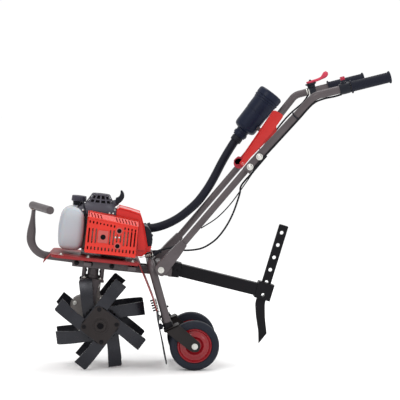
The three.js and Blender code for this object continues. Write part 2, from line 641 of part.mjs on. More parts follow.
function fork(s) {
  const y = s * LEG_Y;
  const bottom = fromChassis(...legPoint(LEG_LENGTH + 3, y));
  const inLeg = fromChassis(...legPoint(90, y));
  const crownTilt = 24 * DEG;
  const stem = rod(STEM_RADIUS, bottom, inLeg, 12);
  const crown = block(-16, 34, -FORK_HALF_WIDTH, FORK_HALF_WIDTH, -FORK_PLATE, 0)
    .rotateY(-crownTilt).translate(bottom[0], y, bottom[2]);
  const [cx, cz] = [bottom[0], bottom[2]];
  const cheekShape = outline([
    [cx - 15, cz - 7], [cx + 32, cz + 13], [WHEEL_X + 19, WHEEL_RADIUS + 9, 12],
    [WHEEL_X + 12, WHEEL_RADIUS - 17, 12], [WHEEL_X - 10, WHEEL_RADIUS - 16, 12]], 4);
  const cheeks = [-1, 1].map((side) => {
    const inner = y + side * (FORK_HALF_WIDTH - FORK_PLATE);
    const outer = y + side * FORK_HALF_WIDTH;
    return slab(cheekShape, Math.min(inner, outer), Math.max(inner, outer));
  });
  const bolt = rod(5, [WHEEL_X, y - FORK_HALF_WIDTH - 7, WHEEL_RADIUS],
    [WHEEL_X, y + FORK_HALF_WIDTH + 7, WHEEL_RADIUS], 12);
  return join(stem, crown, ...cheeks, bolt);
}

function tyre(y) {
  const half = WHEEL_WIDTH / 2;
  const profile = [
    [RIM_RADIUS + 0.4, -half + 7], [RIM_RADIUS + 0.4, half - 7], [RIM_RADIUS + 6, half],
    [WHEEL_RADIUS - 9, half], [WHEEL_RADIUS, half - 9], [WHEEL_RADIUS, -half + 9],
    [WHEEL_RADIUS - 9, -half], [RIM_RADIUS + 6, -half], [RIM_RADIUS + 0.4, -half + 7]];
  return turned(profile, [WHEEL_X, y, WHEEL_RADIUS], [0, 1, 0], 24);
}

function rim(y) {
  const profile = [
    [5.3, -20], [16, -20], [16, -6], [46, -7], [RIM_RADIUS, -14], [RIM_RADIUS, 14],
    [46, 7], [16, 6], [16, 20], [5.3, 20], [5.3, -20]];
  return turned(profile, [WHEEL_X, y, WHEEL_RADIUS], [0, 1, 0], 24);
}

for (const [name, s] of sides) {
  place(`wheel_fork_${name}`, fork(s), FRAME_PAINT);
  place(`tyre_${name}`, tyre(s * LEG_Y), TYRE_RUBBER);
  place(`wheel_rim_${name}`, rim(s * LEG_Y), RED_PAINT);
}

// ---------------------------------------------------------------- drag bar
const ARM_START = fromChassis(RECEIVER_X + 6, 0, RAIL_TOP - RAIL_HEIGHT / 2);
const SOCKET = [543, 0, 246];

function dragArm() {
  const along = [SOCKET[0] - ARM_START[0], SOCKET[2] - ARM_START[2] - ARM_RISE];
  const slope = Math.atan2(-along[1], along[0]) / DEG;
  const length = Math.hypot(...along);
  const arm = block(36, length - 20, -19, 19, -ARM_HALF_HEIGHT, ARM_HALF_HEIGHT)
    .rotateY(slope * DEG).translate(ARM_START[0], 0, ARM_START[2] + ARM_RISE);
  const tongue = block(0, 42, -19.8, 19.8, -11.6, 11.6).rotateY(PITCH * DEG)
    .translate(ARM_START[0], 0, ARM_START[2]);
  const socketBody = block(-27, 27, -22, 22, -28, 28).rotateY(BAR_LEAN * DEG)
    .translate(...SOCKET);
  const slot = block(-16.2, 16.2, -5.2, 5.2, -40, 40).rotateY(BAR_LEAN * DEG)
    .translate(...SOCKET);
  return cut(join(arm, tongue, socketBody), slot);
}

const BAR_HALF_WIDTH = 15.5;
const BAR_HALF_THICKNESS = 4.5;
const BAR_HOLE_PITCH = 43;

function depthBar() {
  const shape = outline([
    [-BAR_HALF_WIDTH, 228, 3], [BAR_HALF_WIDTH, 228, 3], [BAR_HALF_WIDTH, -40, 8],
    [31, -88, 8], [51, -134], [35, -174], [23, -137, 6], [-1.5, -86, 8],
    [-BAR_HALF_WIDTH, -48, 8]]);
  for (let i = 0; i < 6; i += 1) {
    shape.holes.push(circle(6, 0, 202 - i * BAR_HOLE_PITCH, 12));
  }
  return slab(shape, -BAR_HALF_THICKNESS, BAR_HALF_THICKNESS)
    .rotateY(BAR_LEAN * DEG).translate(...SOCKET);
}

place('drag_arm', dragArm(), BLACK_PAINT);
place('depth_bar', depthBar(), BLACK_PAINT);

// ---------------------------------------------------------------- handlebars
const [pivotX, , pivotZ] = fromChassis(PIVOT_X, 0, PIVOT_Z);
const slopeCos = Math.cos(HANDLE_SLOPE * DEG);
const slopeSin = Math.sin(HANDLE_SLOPE * DEG);
// A point given by its distance up the handle from the pivot and its height over that line.
const onHandle = (distance, y, height = 0) => [
  pivotX + slopeCos * distance - slopeSin * height, y,
  pivotZ + slopeSin * distance + slopeCos * height];

const BEND = [676, 894]; // where the handle turns to the grips
const gripCos = Math.cos(GRIP_SLOPE * DEG);
const gripSin = Math.sin(GRIP_SLOPE * DEG);
const onGrip = (distance, s, height = 0) => [
  BEND[0] + gripCos * distance - gripSin * height, s * GRIP_Y,
  BEND[1] + gripSin * distance + gripCos * height];
const GRIP_START = 118;
const GRIP_END = 247;

// Where the clutch lever turns, on a pin welded to the right tube.
const LEVER_FOOT = 436;
const leverPin = () => rod(4, onHandle(LEVER_FOOT, 86), onHandle(LEVER_FOOT, LOWER_TUBE_Y));

function lowerHandle(s) {
  const y = s * LOWER_TUBE_Y;
  const tube = rod(LOWER_TUBE_RADIUS, onHandle(20, y), onHandle(495, y));
  const bracket = slab(outline([
    [-19, -6, 10], [-12, 19, 10], [16, 20, 6], [112, 16], [112, -16], [10, -20, 6], [-12, -18, 10]]),
  y - 16, y + 16).rotateY(-HANDLE_SLOPE * DEG).translate(pivotX, 0, pivotZ);
  const pinHole = rod(6.3, [pivotX, s * 90, pivotZ], [pivotX, s * 170, pivotZ], 12);
  const parts = s > 0 ? [tube, bracket, leverPin()] : [tube, bracket];
  return cut(join(...parts), pinHole);
}

function upperHandle(s) {
  const y = s * UPPER_TUBE_Y;
  const bend = [BEND[0], s * GRIP_Y, BEND[1]];
  return bentTube([onHandle(420, y), onHandle(452, y), bend, onGrip(GRIP_END - 4, s)],
    HANDLE_TUBE_RADIUS, 45, { sides: 12, rings: 4 });
}

function grip(s) {
  const direction = [gripCos, 0, gripSin];
  const inner = HANDLE_TUBE_RADIUS + 3 * GAP;
  const length = GRIP_END - GRIP_START;
  const profile = [
    [inner, 0], [21, 0], [21, 4], [GRIP_RADIUS, 6], [GRIP_RADIUS, length - 6], [20, length - 4],
    [20, length], [0, length], [0, length - 3.5], [inner, length - 3.5], [inner, 0]];
  return turned(profile, onGrip(GRIP_START, s), direction, 16);
}

// Turns a piece modelled along +X, with its top to +Z, into line with a grip.
const alongGrip = (geometry, distance, s) =>
  geometry.rotateY(-GRIP_SLOPE * DEG).translate(...onGrip(distance, s));

function switchHousing() {
  const body = block(-13, 13, -18, 18, -17, 33);
  const hole = rod(HANDLE_TUBE_RADIUS + 3 * GAP, [-20, 0, 0], [20, 0, 0], 14);
  const pocket = block(-8, 8, -8, 8, 22, 40);
  return alongGrip(cut(body, hole, pocket), 98, -1);
}

const stopButton = () => alongGrip(block(-7, 7, -7, 7, 27, 38), 98, -1);

function throttleBase() {
  const body = block(-16, 16, -17, 17, -16, 27);
  const hole = rod(HANDLE_TUBE_RADIUS + 3 * GAP, [-20, 0, 0], [20, 0, 0], 14);
  return alongGrip(cut(body, hole), 62, 1);
}

function throttleLever() {
  const hub = rod(14, [0, 0, 27.5], [0, 0, 35], 16);
  const arm = block(0, 66, -4, 4, 30, 34);
  const paddle = slab(outline([[52, 30], [84, 24, 3], [84, 31, 3], [58, 38, 3]]), -11, 11);
  return alongGrip(join(hub, arm, paddle), 62, 1);
}

// Air filter beside the right tube, fed through a long hose from the carburettor.
const FILTER_FOOT = [475, 225, 751.7];
const FILTER_BODY = 154; // length of the housing up to its lid
const FILTER_AXIS = [0.608, 0, 0.794];

function airFilterHousing() {
  const profile = [
    [0, 0], [22, 0], [24, 6], [24, 20], [22, 26], [38, 34], [40, 44], [40, FILTER_BODY],
    [36, FILTER_BODY], [36, 46], [0, 40]];
  const can = turned(profile, FILTER_FOOT, FILTER_AXIS, 22);
  const arm = rod(7, [537.5, 205.8, 782.4], [544.5, 200.4, 777.2], 8);
  return join(can, arm);
}

const airFilterLid = () => turned([
  [0, FILTER_BODY + 0.4], [42, FILTER_BODY + 0.4], [43, FILTER_BODY + 4], [43, FILTER_BODY + 28],
  [38, FILTER_BODY + 34], [0, FILTER_BODY + 36]], FILTER_FOOT, FILTER_AXIS, 22);
const airFilterElement = () => turned([
  [0, 50], [30, 50], [30, FILTER_BODY - 2], [0, FILTER_BODY - 2]], FILTER_FOOT, FILTER_AXIS, 16);

const hoseRoute = [
  [189, 94, 451], [227, 98, 463], [266, 106, 483], [306, 118, 513], [335, 132, 540],
  [367, 152, 581], [392, 172, 621], [415, 192, 662], [438, 210, 699], [458, 222, 729],
  [473.4, 224.9, 749.4]];

function airHose() {
  return smoothTube([fromChassis(125, 95.6, 312.7), ...hoseRoute], 14.5, 8, 26);
}

const clutchCableRoute = [
  onHandle(500, -UPPER_TUBE_Y - 10, -17), onHandle(440, -UPPER_TUBE_Y - 2, -18),
  [457, -137, 606],
  [452, -122, 576], [433, -108, 516], [410, -98, 469], [382, -90, 431], [355, -84, 409],
  [330, -78, 396], [300, -70, 390], [270, -64, 389], [232, -58, 395], [196, -52, 387],
  [171.6, -48, 372]];
const throttleCableRoute = [
  onGrip(44, 0.93, -8), [700, 244, 868], [640, 206, 818], [560, 168, 724], [470, 116, 620],
  [422, 96, 562], [377, 78, 505], [326, 50, 447], [265, 30, 400], [215, 34, 384], [171.6, 38, 372]];
const cable = (route) => smoothTube(route, 3, 6, 34);

// Channel lever on the inner side of the right tube, pivoting at its foot.
const LEVER_NEAR_Y = 91;
const LEVER_WIDTH = 26;

function clutchLever() {
  const flange = (corners, y) => slab(outline(corners), y, y + 3);
  const near = flange([
    [-8, -10, 8], [-10, 14, 8], [206, 38, 6], [214, -4, 10], [150, -12, 4], [24, -8, 4]], LEVER_NEAR_Y);
  const far = flange([
    [-8, -10, 8], [-10, 14, 8], [206, 38, 6], [200, 24, 8], [156, -20, 10], [134, -16, 10],
    [24, -8, 4]],
  LEVER_NEAR_Y + LEVER_WIDTH - 3);
  const spine = slab(outline([[-6, 10.5], [-6, 13.5], [203, 37], [203, 34]]),
    LEVER_NEAR_Y, LEVER_NEAR_Y + LEVER_WIDTH);
  const pinHole = rod(4.3, [0, 80, 0], [0, 130, 0], 12);
  return cut(join(near, far, spine), pinHole).rotateY(-HANDLE_SLOPE * DEG)
    .translate(...onHandle(LEVER_FOOT, 0));
}

for (const [name, s] of sides) {
  place(`handle_lower_${name}`, lowerHandle(s), FRAME_PAINT);
  place(`handle_upper_${name}`, upperHandle(s), FRAME_PAINT);
  place(`handle_grip_${name}`, grip(s), RUBBER);
}
place('switch_housing', switchHousing(), BLACK_PLASTIC);
place('stop_button', stopButton(), RED_PLASTIC);
place('throttle_base', throttleBase(), BLACK_PLASTIC);
place('throttle_lever', throttleLever(), RED_PLASTIC);
place('air_filter_housing', airFilterHousing(), BLACK_PLASTIC);
place('air_filter_lid', airFilterLid(), BLACK_PLASTIC);
place('air_filter_element', airFilterElement(), WHITE_PLASTIC);
place('air_hose', airHose(), RUBBER);
place('clutch_cable', cable(clutchCableRoute), RUBBER);
place('throttle_cable', cable(throttleCableRoute), RUBBER);
place('clutch_lever', clutchLever(), RED_PAINT);

// ---------------------------------------------------------------- origin at the bottom centre
machine.updateMatrixWorld(true);
const bounds = new THREE.Box3().setFromObject(machine, true);
const centre = bounds.getCenter(new THREE.Vector3());
machine.position.set(-centre.x, -centre.y, -bounds.min.z);

export default machine;
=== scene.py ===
"""Mini cultivator, seen from its left side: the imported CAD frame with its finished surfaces.

Lengths below are millimetres in the machine's own drawing coordinates, except the camera, floor
and lamps, which are in metres. CHASSIS, MACHINE and ROTOR carry drawn points into the frame.
"""
import math

import bmesh
import bpy
from mathutils import Matrix, Quaternion, Vector


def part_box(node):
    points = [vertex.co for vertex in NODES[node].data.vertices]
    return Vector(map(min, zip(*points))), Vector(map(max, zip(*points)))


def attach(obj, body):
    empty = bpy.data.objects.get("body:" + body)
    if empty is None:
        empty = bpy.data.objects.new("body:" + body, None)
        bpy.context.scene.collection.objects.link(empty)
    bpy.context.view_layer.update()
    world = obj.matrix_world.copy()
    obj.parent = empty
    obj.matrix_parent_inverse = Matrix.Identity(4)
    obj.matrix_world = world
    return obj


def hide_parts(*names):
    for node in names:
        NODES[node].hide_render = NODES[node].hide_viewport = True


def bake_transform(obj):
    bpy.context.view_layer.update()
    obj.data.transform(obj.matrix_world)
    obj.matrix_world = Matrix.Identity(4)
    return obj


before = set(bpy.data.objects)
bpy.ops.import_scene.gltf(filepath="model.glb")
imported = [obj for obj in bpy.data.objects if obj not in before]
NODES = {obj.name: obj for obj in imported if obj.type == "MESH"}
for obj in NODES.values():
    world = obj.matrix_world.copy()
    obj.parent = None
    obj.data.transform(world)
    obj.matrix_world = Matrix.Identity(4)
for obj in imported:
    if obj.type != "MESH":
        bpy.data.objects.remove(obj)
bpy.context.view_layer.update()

# ------------------------------------------------------------------ driving dimensions
MM = 0.001
PITCH = math.radians(6.2)
COLUMN_X = -41.0
DECK_TOP = 215.0
DECK_FRONT = -184.0
DECK_REAR = 101.0
DECK_HALF = 125.0
TUBE_R = 13.0
PIVOT = (175.2, 203.7)
RECEIVER = (212.0, 0.0, 187.5)
LEG_Y = 105.0
WHEEL_X = 306.0
WHEEL_R = 81.0
HANDLE_SLOPE = math.radians(49.4)
GRIP_SLOPE = math.radians(13.9)
LOWER_R = 11.0
HANDLE_R = 12.5
LOWER_Y = 138.0
UPPER_Y = 164.0
GRIP_Y = 268.0
BEND = (676.0, 894.0)
UPPER_START, UPPER_BEND = 420.0, 452.0
GRIP_START, GRIP_LENGTH, TUBE_END = 118.0, 129.0, 243.0
BAR_LEAN = math.radians(17)
SOCKET = (543.0, 246.0)
LEFT, RIGHT = -1, 1
SIDES = (("left", LEFT), ("right", RIGHT))


def box_centre(node):
    """The middle of a CAD node, in metres."""
    low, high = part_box(node)
    return (Vector(low) + Vector(high)) / 2


AXLE = box_centre("tine_axle")
MACHINE = Matrix.Translation((box_centre("tyre_left").x - WHEEL_X * MM, 0, 0)) @ Matrix.Scale(MM, 4)
CHASSIS = Matrix.Translation(AXLE) @ Matrix.Rotation(PITCH, 4, "Y") @ Matrix.Scale(MM, 4)
ROTOR = Matrix.Translation(AXLE) @ Matrix.Scale(MM, 4)


def from_chassis(x, y, z):
    """A chassis point in machine coordinates."""
    return tuple(MACHINE.inverted() @ (CHASSIS @ Vector((x, y, z))))


PIVOT_X, _, PIVOT_Z = from_chassis(PIVOT[0], 0, PIVOT[1])


def on_handle(distance, y, height=0.0):
    """A point by its distance up the handle from the pivot and its height over that line."""
    c, s = math.cos(HANDLE_SLOPE), math.sin(HANDLE_SLOPE)
    return (PIVOT_X + c * distance - s * height, y, PIVOT_Z + s * distance + c * height)


def on_grip(distance, side, height=0.0):
    """A point by its distance up a grip from the bend of its tube and its height over that line."""
    c, s = math.cos(GRIP_SLOPE), math.sin(GRIP_SLOPE)
    return (BEND[0] + c * distance - s * height, side * GRIP_Y,
            BEND[1] + s * distance + c * height)


def tilted(origin, slope):
    """Local millimetres with +X up a slope, placed at a machine point."""
    return MACHINE @ Matrix.Translation(origin) @ Matrix.Rotation(-slope, 4, "Y")


HANDLE = tilted((PIVOT_X, 0, PIVOT_Z), HANDLE_SLOPE)
BAR = MACHINE @ Matrix.Translation((SOCKET[0], 0, SOCKET[1])) @ Matrix.Rotation(BAR_LEAN, 4, "Y")

# ------------------------------------------------------------------ camera
CAMERA_AT = Vector((-0.316, -5.40, 0.920))
CAMERA_AIM = Vector((-0.010, 0.0, 0.549))
camera_data = bpy.data.cameras.new("camera")
camera_data.lens = 147.5
camera_data.sensor_width = 36
camera = bpy.data.objects.new("camera", camera_data)
bpy.context.scene.collection.objects.link(camera)
camera.location = CAMERA_AT
camera.rotation_euler = (CAMERA_AIM - CAMERA_AT).to_track_quat("-Z", "Y").to_euler()
bpy.context.scene.camera = camera


# ------------------------------------------------------------------ materials
class Nodes:
    """Short calls for building a procedural material."""

    def __init__(self, name):
        self.material = bpy.data.materials.new(name)
        self.material.use_nodes = True
        self.tree = self.material.node_tree
        self.shader = self.tree.nodes["Principled BSDF"]
        self.position = self.tree.nodes.new("ShaderNodeTexCoord").outputs["Object"]

    def link(self, output, socket):
        self.tree.links.new(output, socket)

    def set(self, **values):
        for key, value in values.items():
            self.shader.inputs[key.replace("_", " ")].default_value = value

    def noise(self, scale, detail=3.0, stretch=(1, 1, 1)):
        mapping = self.tree.nodes.new("ShaderNodeMapping")
        mapping.inputs["Scale"].default_value = stretch
        self.link(self.position, mapping.inputs["Vector"])
        noise = self.tree.nodes.new("ShaderNodeTexNoise")
        noise.inputs["Scale"].default_value = scale
        noise.inputs["Detail"].default_value = detail
        self.link(mapping.outputs["Vector"], noise.inputs["Vector"])
        return noise.outputs["Fac"]

    def ramp(self, factor, *stops):
        ramp = self.tree.nodes.new("ShaderNodeValToRGB")
        elements = ramp.color_ramp.elements
        while len(elements) < len(stops):
            elements.new(0.5)
        for element, (place, color) in zip(elements, stops):
            element.position = place
            element.color = (*color, 1.0) if isinstance(color, tuple) else (color, color, color, 1.0)
        self.link(factor, ramp.inputs["Fac"])
        return ramp.outputs["Color"]

    def mix(self, factor, first, second, blend="MIX"):
        mix = self.tree.nodes.new("ShaderNodeMix")
        mix.data_type = "RGBA"
        mix.blend_type = blend
        for socket, value in zip((mix.inputs["Factor"], mix.inputs["A"], mix.inputs["B"]),
                                 (factor, first, second)):
            if isinstance(value, (float, int)):
                socket.default_value = value
            elif isinstance(value, tuple):
                socket.default_value = (*value, 1.0)
            else:
                self.link(value, socket)
        return mix.outputs["Result"]

    def bump(self, height, strength, distance=0.0005):
        bump = self.tree.nodes.new("ShaderNodeBump")
        bump.inputs["Strength"].default_value = strength
        bump.inputs["Distance"].default_value = distance
        self.link(height, bump.inputs["Height"])
        self.link(bump.outputs["Normal"], self.shader.inputs["Normal"])

    def edges(self, low=0.52, high=0.62):
        """Nearer 1 on outward edges of the surface, where paint rubs thin."""
        geometry = self.tree.nodes.new("ShaderNodeNewGeometry")
        return self.ramp(geometry.outputs["Pointiness"], (low, 0.0), (high, 1.0))


def srgb(*levels):
    """Linear colour of display levels from 0 to 255."""
    return tuple((v / 255 / 12.92) if v <= 10 else ((v / 255 + 0.055) / 1.055) ** 2.4 for v in levels)


def shade(color, factor):
    """A colour made darker or lighter."""
    return tuple(min(1.0, c * factor) for c in color)


def paint(name, color, rough=0.4, metal=0.0, grain=900, wear=0.25, coat=0.0, spread=0.12, relief=0.08,
          gleam=0.14):
    """Paint or powder coat: cloudy tone, orange-peel relief and paler rubbed edges."""
    m = Nodes(name)
    tone = m.noise(14, 4)
    base = m.ramp(tone, (0.3, shade(color, 1 - spread)), (0.7, shade(color, 1 + spread)))
    speck = m.ramp(m.noise(420, 2), (0.45, 0.0), (0.75, 0.35))
    base = m.mix(speck, base, shade(color, 0.8))
    rubbed = m.mix(m.edges(), (0.0, 0.0, 0.0), m.ramp(m.noise(60, 4), (0.4, 0.0), (0.7, wear)))
    base = m.mix(rubbed, base, shade(color, 2.0) if max(color) < 0.4 else shade(color, 1.35))
    m.link(base, m.shader.inputs["Base Color"])
    m.link(m.ramp(m.noise(40, 4), (0.3, rough - 0.07), (0.75, rough + 0.1)), m.shader.inputs["Roughness"])
    m.bump(m.noise(grain, 2), relief)
    m.set(Metallic=metal, Specular_IOR_Level=gleam, Coat_Weight=coat, Coat_Roughness=0.08)
    return m.material


def moulded(name, color, rough=0.45, grain=1600, relief=0.12, spread=0.1, coat=0.0, gleam=0.14):
    """Moulded plastic or rubber: fine grain, faint flow marks."""
    m = Nodes(name)
    tone = m.noise(9, 3, (1, 1, 3))
    base = m.ramp(tone, (0.3, shade(color, 1 - spread)), (0.7, shade(color, 1 + spread)))
    base = m.mix(m.ramp(m.edges(), (0.0, 0.0), (1.0, 0.3)), base, shade(color, 1.9))
    m.link(base, m.shader.inputs["Base Color"])
    m.link(m.ramp(m.noise(26, 4), (0.3, rough - 0.06), (0.75, rough + 0.09)), m.shader.inputs["Roughness"])
    m.bump(m.noise(grain, 2), relief)
    m.set(Specular_IOR_Level=gleam, Coat_Weight=coat, Coat_Roughness=0.1)
    return m.material


def metal(name, color, rough=0.32, stretch=(1, 1, 12), grain=260, relief=0.05):
    """Bare metal with brushed streaks and stains."""
    m = Nodes(name)
    streak = m.noise(grain, 3, stretch)
    base = m.ramp(streak, (0.3, shade(color, 0.78)), (0.7, shade(color, 1.12)))
    stain = m.ramp(m.noise(22, 5), (0.5, 0.0), (0.8, 0.5))
    base = m.mix(stain, base, shade(color, 0.55))
    m.link(base, m.shader.inputs["Base Color"])
    m.link(m.ramp(streak, (0.3, rough - 0.08), (0.7, rough + 0.14)), m.shader.inputs["Roughness"])
    m.bump(streak, relief)
    m.set(Metallic=1.0)
    return m.material


def tank_plastic():
    """Thin blow-moulded plastic, tinted reddish at the very bottom and paler towards the top."""
    m = Nodes("tank_plastic")
    low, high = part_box("fuel_tank")
    split = m.tree.nodes.new("ShaderNodeSeparateXYZ")
    m.link(m.position, split.inputs["Vector"])
    level = m.tree.nodes.new("ShaderNodeMapRange")
    level.inputs["From Min"].default_value = low[2]
    level.inputs["From Max"].default_value = high[2]
    m.link(split.outputs["Z"], level.inputs["Value"])
    tint = m.ramp(level.outputs["Result"], (0.0, srgb(160, 124, 126)), (0.1, srgb(162, 159, 165)),
                  (0.55, srgb(166, 169, 176)), (1.0, srgb(176, 181, 186)))
    cloud = m.ramp(m.noise(18, 4), (0.35, 0.0), (0.75, 0.4))
    m.link(m.mix(cloud, tint, srgb(152, 158, 163)), m.shader.inputs["Base Color"])
    m.link(m.ramp(m.noise(70, 3), (0.3, 0.36), (0.7, 0.5)), m.shader.inputs["Roughness"])
    m.bump(m.noise(500, 2), 0.06)
    m.set(Subsurface_Weight=0.25, Subsurface_Scale=0.01)
    return m.material


FRAME_PAINT = paint("frame_paint", srgb(84, 78, 80), rough=0.36, metal=0.25, wear=0.3, spread=0.1)
RED_PAINT = paint("red_paint", srgb(134, 42, 44), rough=0.45, spread=0.06)
RIM_PAINT = paint("rim_paint", srgb(132, 16, 26), rough=0.26, coat=0.6, spread=0.07)
BLACK_PAINT = paint("black_paint", srgb(15, 14, 18), rough=0.42, metal=0.1, spread=0.14)
FORK_PAINT = paint("fork_paint", srgb(36, 33, 33), rough=0.45, metal=0.15, spread=0.1)
TINE_PAINT = paint("tine_paint", srgb(26, 27, 34), gleam=0.55, rough=0.3, metal=0.45, wear=0.5, spread=0.16)
HUB_PAINT = paint("hub_paint", srgb(44, 40, 40), rough=0.5, metal=0.2, spread=0.1)
GUARD_RED = moulded("guard_red", srgb(200, 43, 31), rough=0.3, spread=0.05, coat=0.35, relief=0.05)
COVER_RED = moulded("cover_red", srgb(194, 36, 32), rough=0.34, spread=0.06, coat=0.3, relief=0.05)
LEVER_RED = paint("lever_red", srgb(182, 44, 42), rough=0.36, coat=0.2, spread=0.05)
# A darker copy of the lever red: painted shade for the lug between the lever's flanges.
LEVER_RED_PAINTED_SHADE = paint("lever_red_painted_shade", srgb(150, 44, 56), rough=0.4, spread=0.06)
THROTTLE_RED = moulded("throttle_red", srgb(184, 60, 80), rough=0.38)
BUTTON_RED = moulded("button_red", srgb(150, 40, 58), rough=0.35)
BLACK_PLASTIC = moulded("black_plastic", srgb(24, 26, 34), rough=0.4)
FILTER_BLACK = moulded("filter_black", srgb(20, 26, 44), rough=0.36, spread=0.14)
GREY_PLASTIC = moulded("grey_plastic", srgb(60, 58, 68), rough=0.42, spread=0.08)
STARTER_GREY = moulded("starter_grey", srgb(66, 64, 72), rough=0.38, spread=0.1)
# Near-black painted shade, put in bores and behind openings where only shade shows.
PAINTED_SHADE_BLACK = moulded("painted_shade_black", srgb(9, 8, 11), rough=0.8, gleam=0.1)
PAD_RED = moulded("guard_pad", srgb(176, 84, 80), rough=0.4)
# Dark red of painted shade, for the sheets behind the guard's openings.
SHADED_RED = moulded("shaded_red", srgb(92, 18, 18), rough=0.6, gleam=0.15)
FILTER_FOAM = moulded("filter_foam", srgb(170, 160, 140), rough=0.9, relief=0.6)
RUBBER = moulded("rubber", srgb(24, 24, 30), rough=0.62, grain=900, relief=0.2)
HOSE_RUBBER = moulded("hose_rubber", srgb(16, 18, 30), rough=0.42, grain=700, relief=0.12)
GRIP_RUBBER = moulded("grip_rubber", srgb(23, 25, 36), rough=0.55, grain=800, relief=0.22)
TYRE_RUBBER = moulded("tyre_rubber", srgb(30, 33, 42), rough=0.6, grain=600, relief=0.3, spread=0.14)
CABLE_SKIN = moulded("cable_skin", srgb(16, 17, 22), rough=0.45)
FLAP_RUBBER = moulded("flap_rubber", srgb(40, 40, 45), rough=0.6, grain=500, relief=0.2)
BOLT_STEEL = metal("bolt_steel", srgb(206, 205, 200), rough=0.3)
DULL_STEEL = metal("dull_steel", srgb(150, 138, 132), rough=0.45)
MUFFLER_STEEL = metal("muffler_steel", srgb(176, 130, 122), rough=0.5)
CAST_ALLOY = metal("cast_alloy", srgb(112, 108, 106), rough=0.55, stretch=(1, 1, 1), grain=700, relief=0.25)
BRIGHT_ALLOY = metal("bright_alloy", srgb(170, 172, 175), rough=0.4, stretch=(1, 1, 1), grain=500)
ROPE_FIBRE = moulded("rope_fibre", srgb(205, 205, 198), rough=0.8, grain=2600, relief=0.5)
TANK = tank_plastic()

# ------------------------------------------------------------------ mesh building
BEVEL_ANGLE = math.radians(32)


def round_edges(piece, bevel):
    """Rounds the sharp edges of a piece by that many millimetres."""
    if not bevel:
        return
    modifier = piece.modifiers.new("edge", "BEVEL")
    modifier.width = bevel * MM
    modifier.segments = 2
    modifier.limit_method = "ANGLE"
    modifier.angle_limit = BEVEL_ANGLE
    modifier.harden_normals = True
    modifier.use_clamp_overlap = True


def build(name, bm, material, matrix=CHASSIS, body="frame", bevel=0.8, replaces=()):
    """Makes the object of a bmesh in local millimetres, with its body, finish and edge rounding."""
    bmesh.ops.transform(bm, matrix=matrix, verts=bm.verts)
    bmesh.ops.remove_doubles(bm, verts=bm.verts, dist=1e-6)
    bmesh.ops.recalc_face_normals(bm, faces=bm.faces)
    mesh = bpy.data.meshes.new(name)
    bm.to_mesh(mesh)
    bm.free()
    for polygon in mesh.polygons:
        polygon.use_smooth = True
    mesh.set_sharp_from_angle(angle=BEVEL_ANGLE)
    piece = bpy.data.objects.new(name, mesh)
    bpy.context.scene.collection.objects.link(piece)
    mesh.materials.append(material)
    round_edges(piece, bevel)
    if body:
        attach(piece, body)
    if replaces:
        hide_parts(*replaces)
    return piece


def bridge(bm, rings, closed=False, caps=True):
    """Joins rings of points, each a closed loop of the same length, into a skin."""
    loops = [[bm.verts.new(p) for p in ring] for ring in rings]
    pairs = list(zip(loops, loops[1:]))
    if closed:
        pairs.append((loops[-1], loops[0]))
    for a, b in pairs:
        count = len(a)
        for i in range(count):
            bm.faces.new((a[i], a[(i + 1) % count], b[(i + 1) % count], b[i]))
    if caps and not closed:
        bm.faces.new(loops[0][::-1])
        bm.faces.new(loops[-1])


def block(bm, x0, x1, y0, y1, z0, z1):
    """A plain box."""
    low = [(x0, y0, z0), (x1, y0, z0), (x1, y1, z0), (x0, y1, z0)]
    bridge(bm, [low, [(x, y, z1) for x, y, _ in low]])


def rounded(corners, steps=4):
    """A loop whose corners [x, y, radius] become arcs where a radius is given."""
    loop = []
    for i, corner in enumerate(corners):
        here = Vector(corner[:2])
        radius = corner[2] if len(corner) > 2 else 0
        before = Vector(corners[i - 1][:2]) - here
        after = Vector(corners[(i + 1) % len(corners)][:2]) - here
        if not radius:
            loop.append(tuple(here))
            continue
        back = min(radius, 0.45 * before.length, 0.45 * after.length)
        enter = here + before.normalized() * back
        leave = here + after.normalized() * back
        for k in range(steps + 1):
            t = k / steps
            loop.append(tuple(enter * (1 - t) ** 2 + here * 2 * t * (1 - t) + leave * t * t))
    return loop


def rounded_box(x0, x1, y0, y1, radius, steps=4):
    """A rectangle with round corners."""
    corners = ((x0, y0), (x1, y0), (x1, y1), (x0, y1))
    return rounded([(*corner, radius) for corner in corners], steps)


def ring(radius, x=0.0, y=0.0, count=24, start=0.0):
    """A circle of points."""
    angles = [start + 2 * math.pi * i / count for i in range(count)]
    return [(x + radius * math.cos(a), y + radius * math.sin(a)) for a in angles]


def slot_loop(x, y, width, height, lean=0.0, steps=3):
    """A slot with round ends, standing on end, its top leaning sideways."""
    r = width / 2
    top, bottom = y + height / 2 - r, y - height / 2 + r
    loop = []
    for centre, start in ((top, 0.0), (bottom, math.pi)):
        for k in range(steps + 1):
            a = start + math.pi * k / steps
            shift = lean * (centre - y)
            loop.append((x + shift + r * math.cos(a), centre + r * math.sin(a)))
    return loop


XZ = "xz"
XY = "xy"
YZ = "yz"
AXES = {
    XZ: lambda u, v, w: (u, w, v),
    XY: lambda u, v, w: (u, v, w),
    YZ: lambda u, v, w: (w, u, v),
}


def sheet_plate(bm, outer, holes, plane, depth0, depth1):
    """A plate of an outline with holes in it, between two depths."""
    flat = bmesh.new()
    edges = []
    for loop in (outer, *holes):
        verts = [flat.verts.new((*p, 0)) for p in loop]
        edges += [flat.edges.new((verts[i - 1], verts[i])) for i in range(len(verts))]
    bmesh.ops.triangle_fill(flat, use_beauty=True, edges=edges)
    put = AXES.get(plane, plane)
    flat.verts.index_update()
    keep = {(side, v.index): bm.verts.new(put(v.co.x, v.co.y, depth))
            for side, depth in ((0, depth0), (1, depth1)) for v in flat.verts}
    for face in flat.faces:
        index = [v.index for v in face.verts]
        bm.faces.new([keep[0, i] for i in index])
        bm.faces.new([keep[1, i] for i in reversed(index)])
    for edge in flat.edges:
        if len(edge.link_faces) == 1:
            a, b = (v.index for v in edge.verts)
            bm.faces.new((keep[0, a], keep[0, b], keep[1, b], keep[1, a]))
    flat.free()


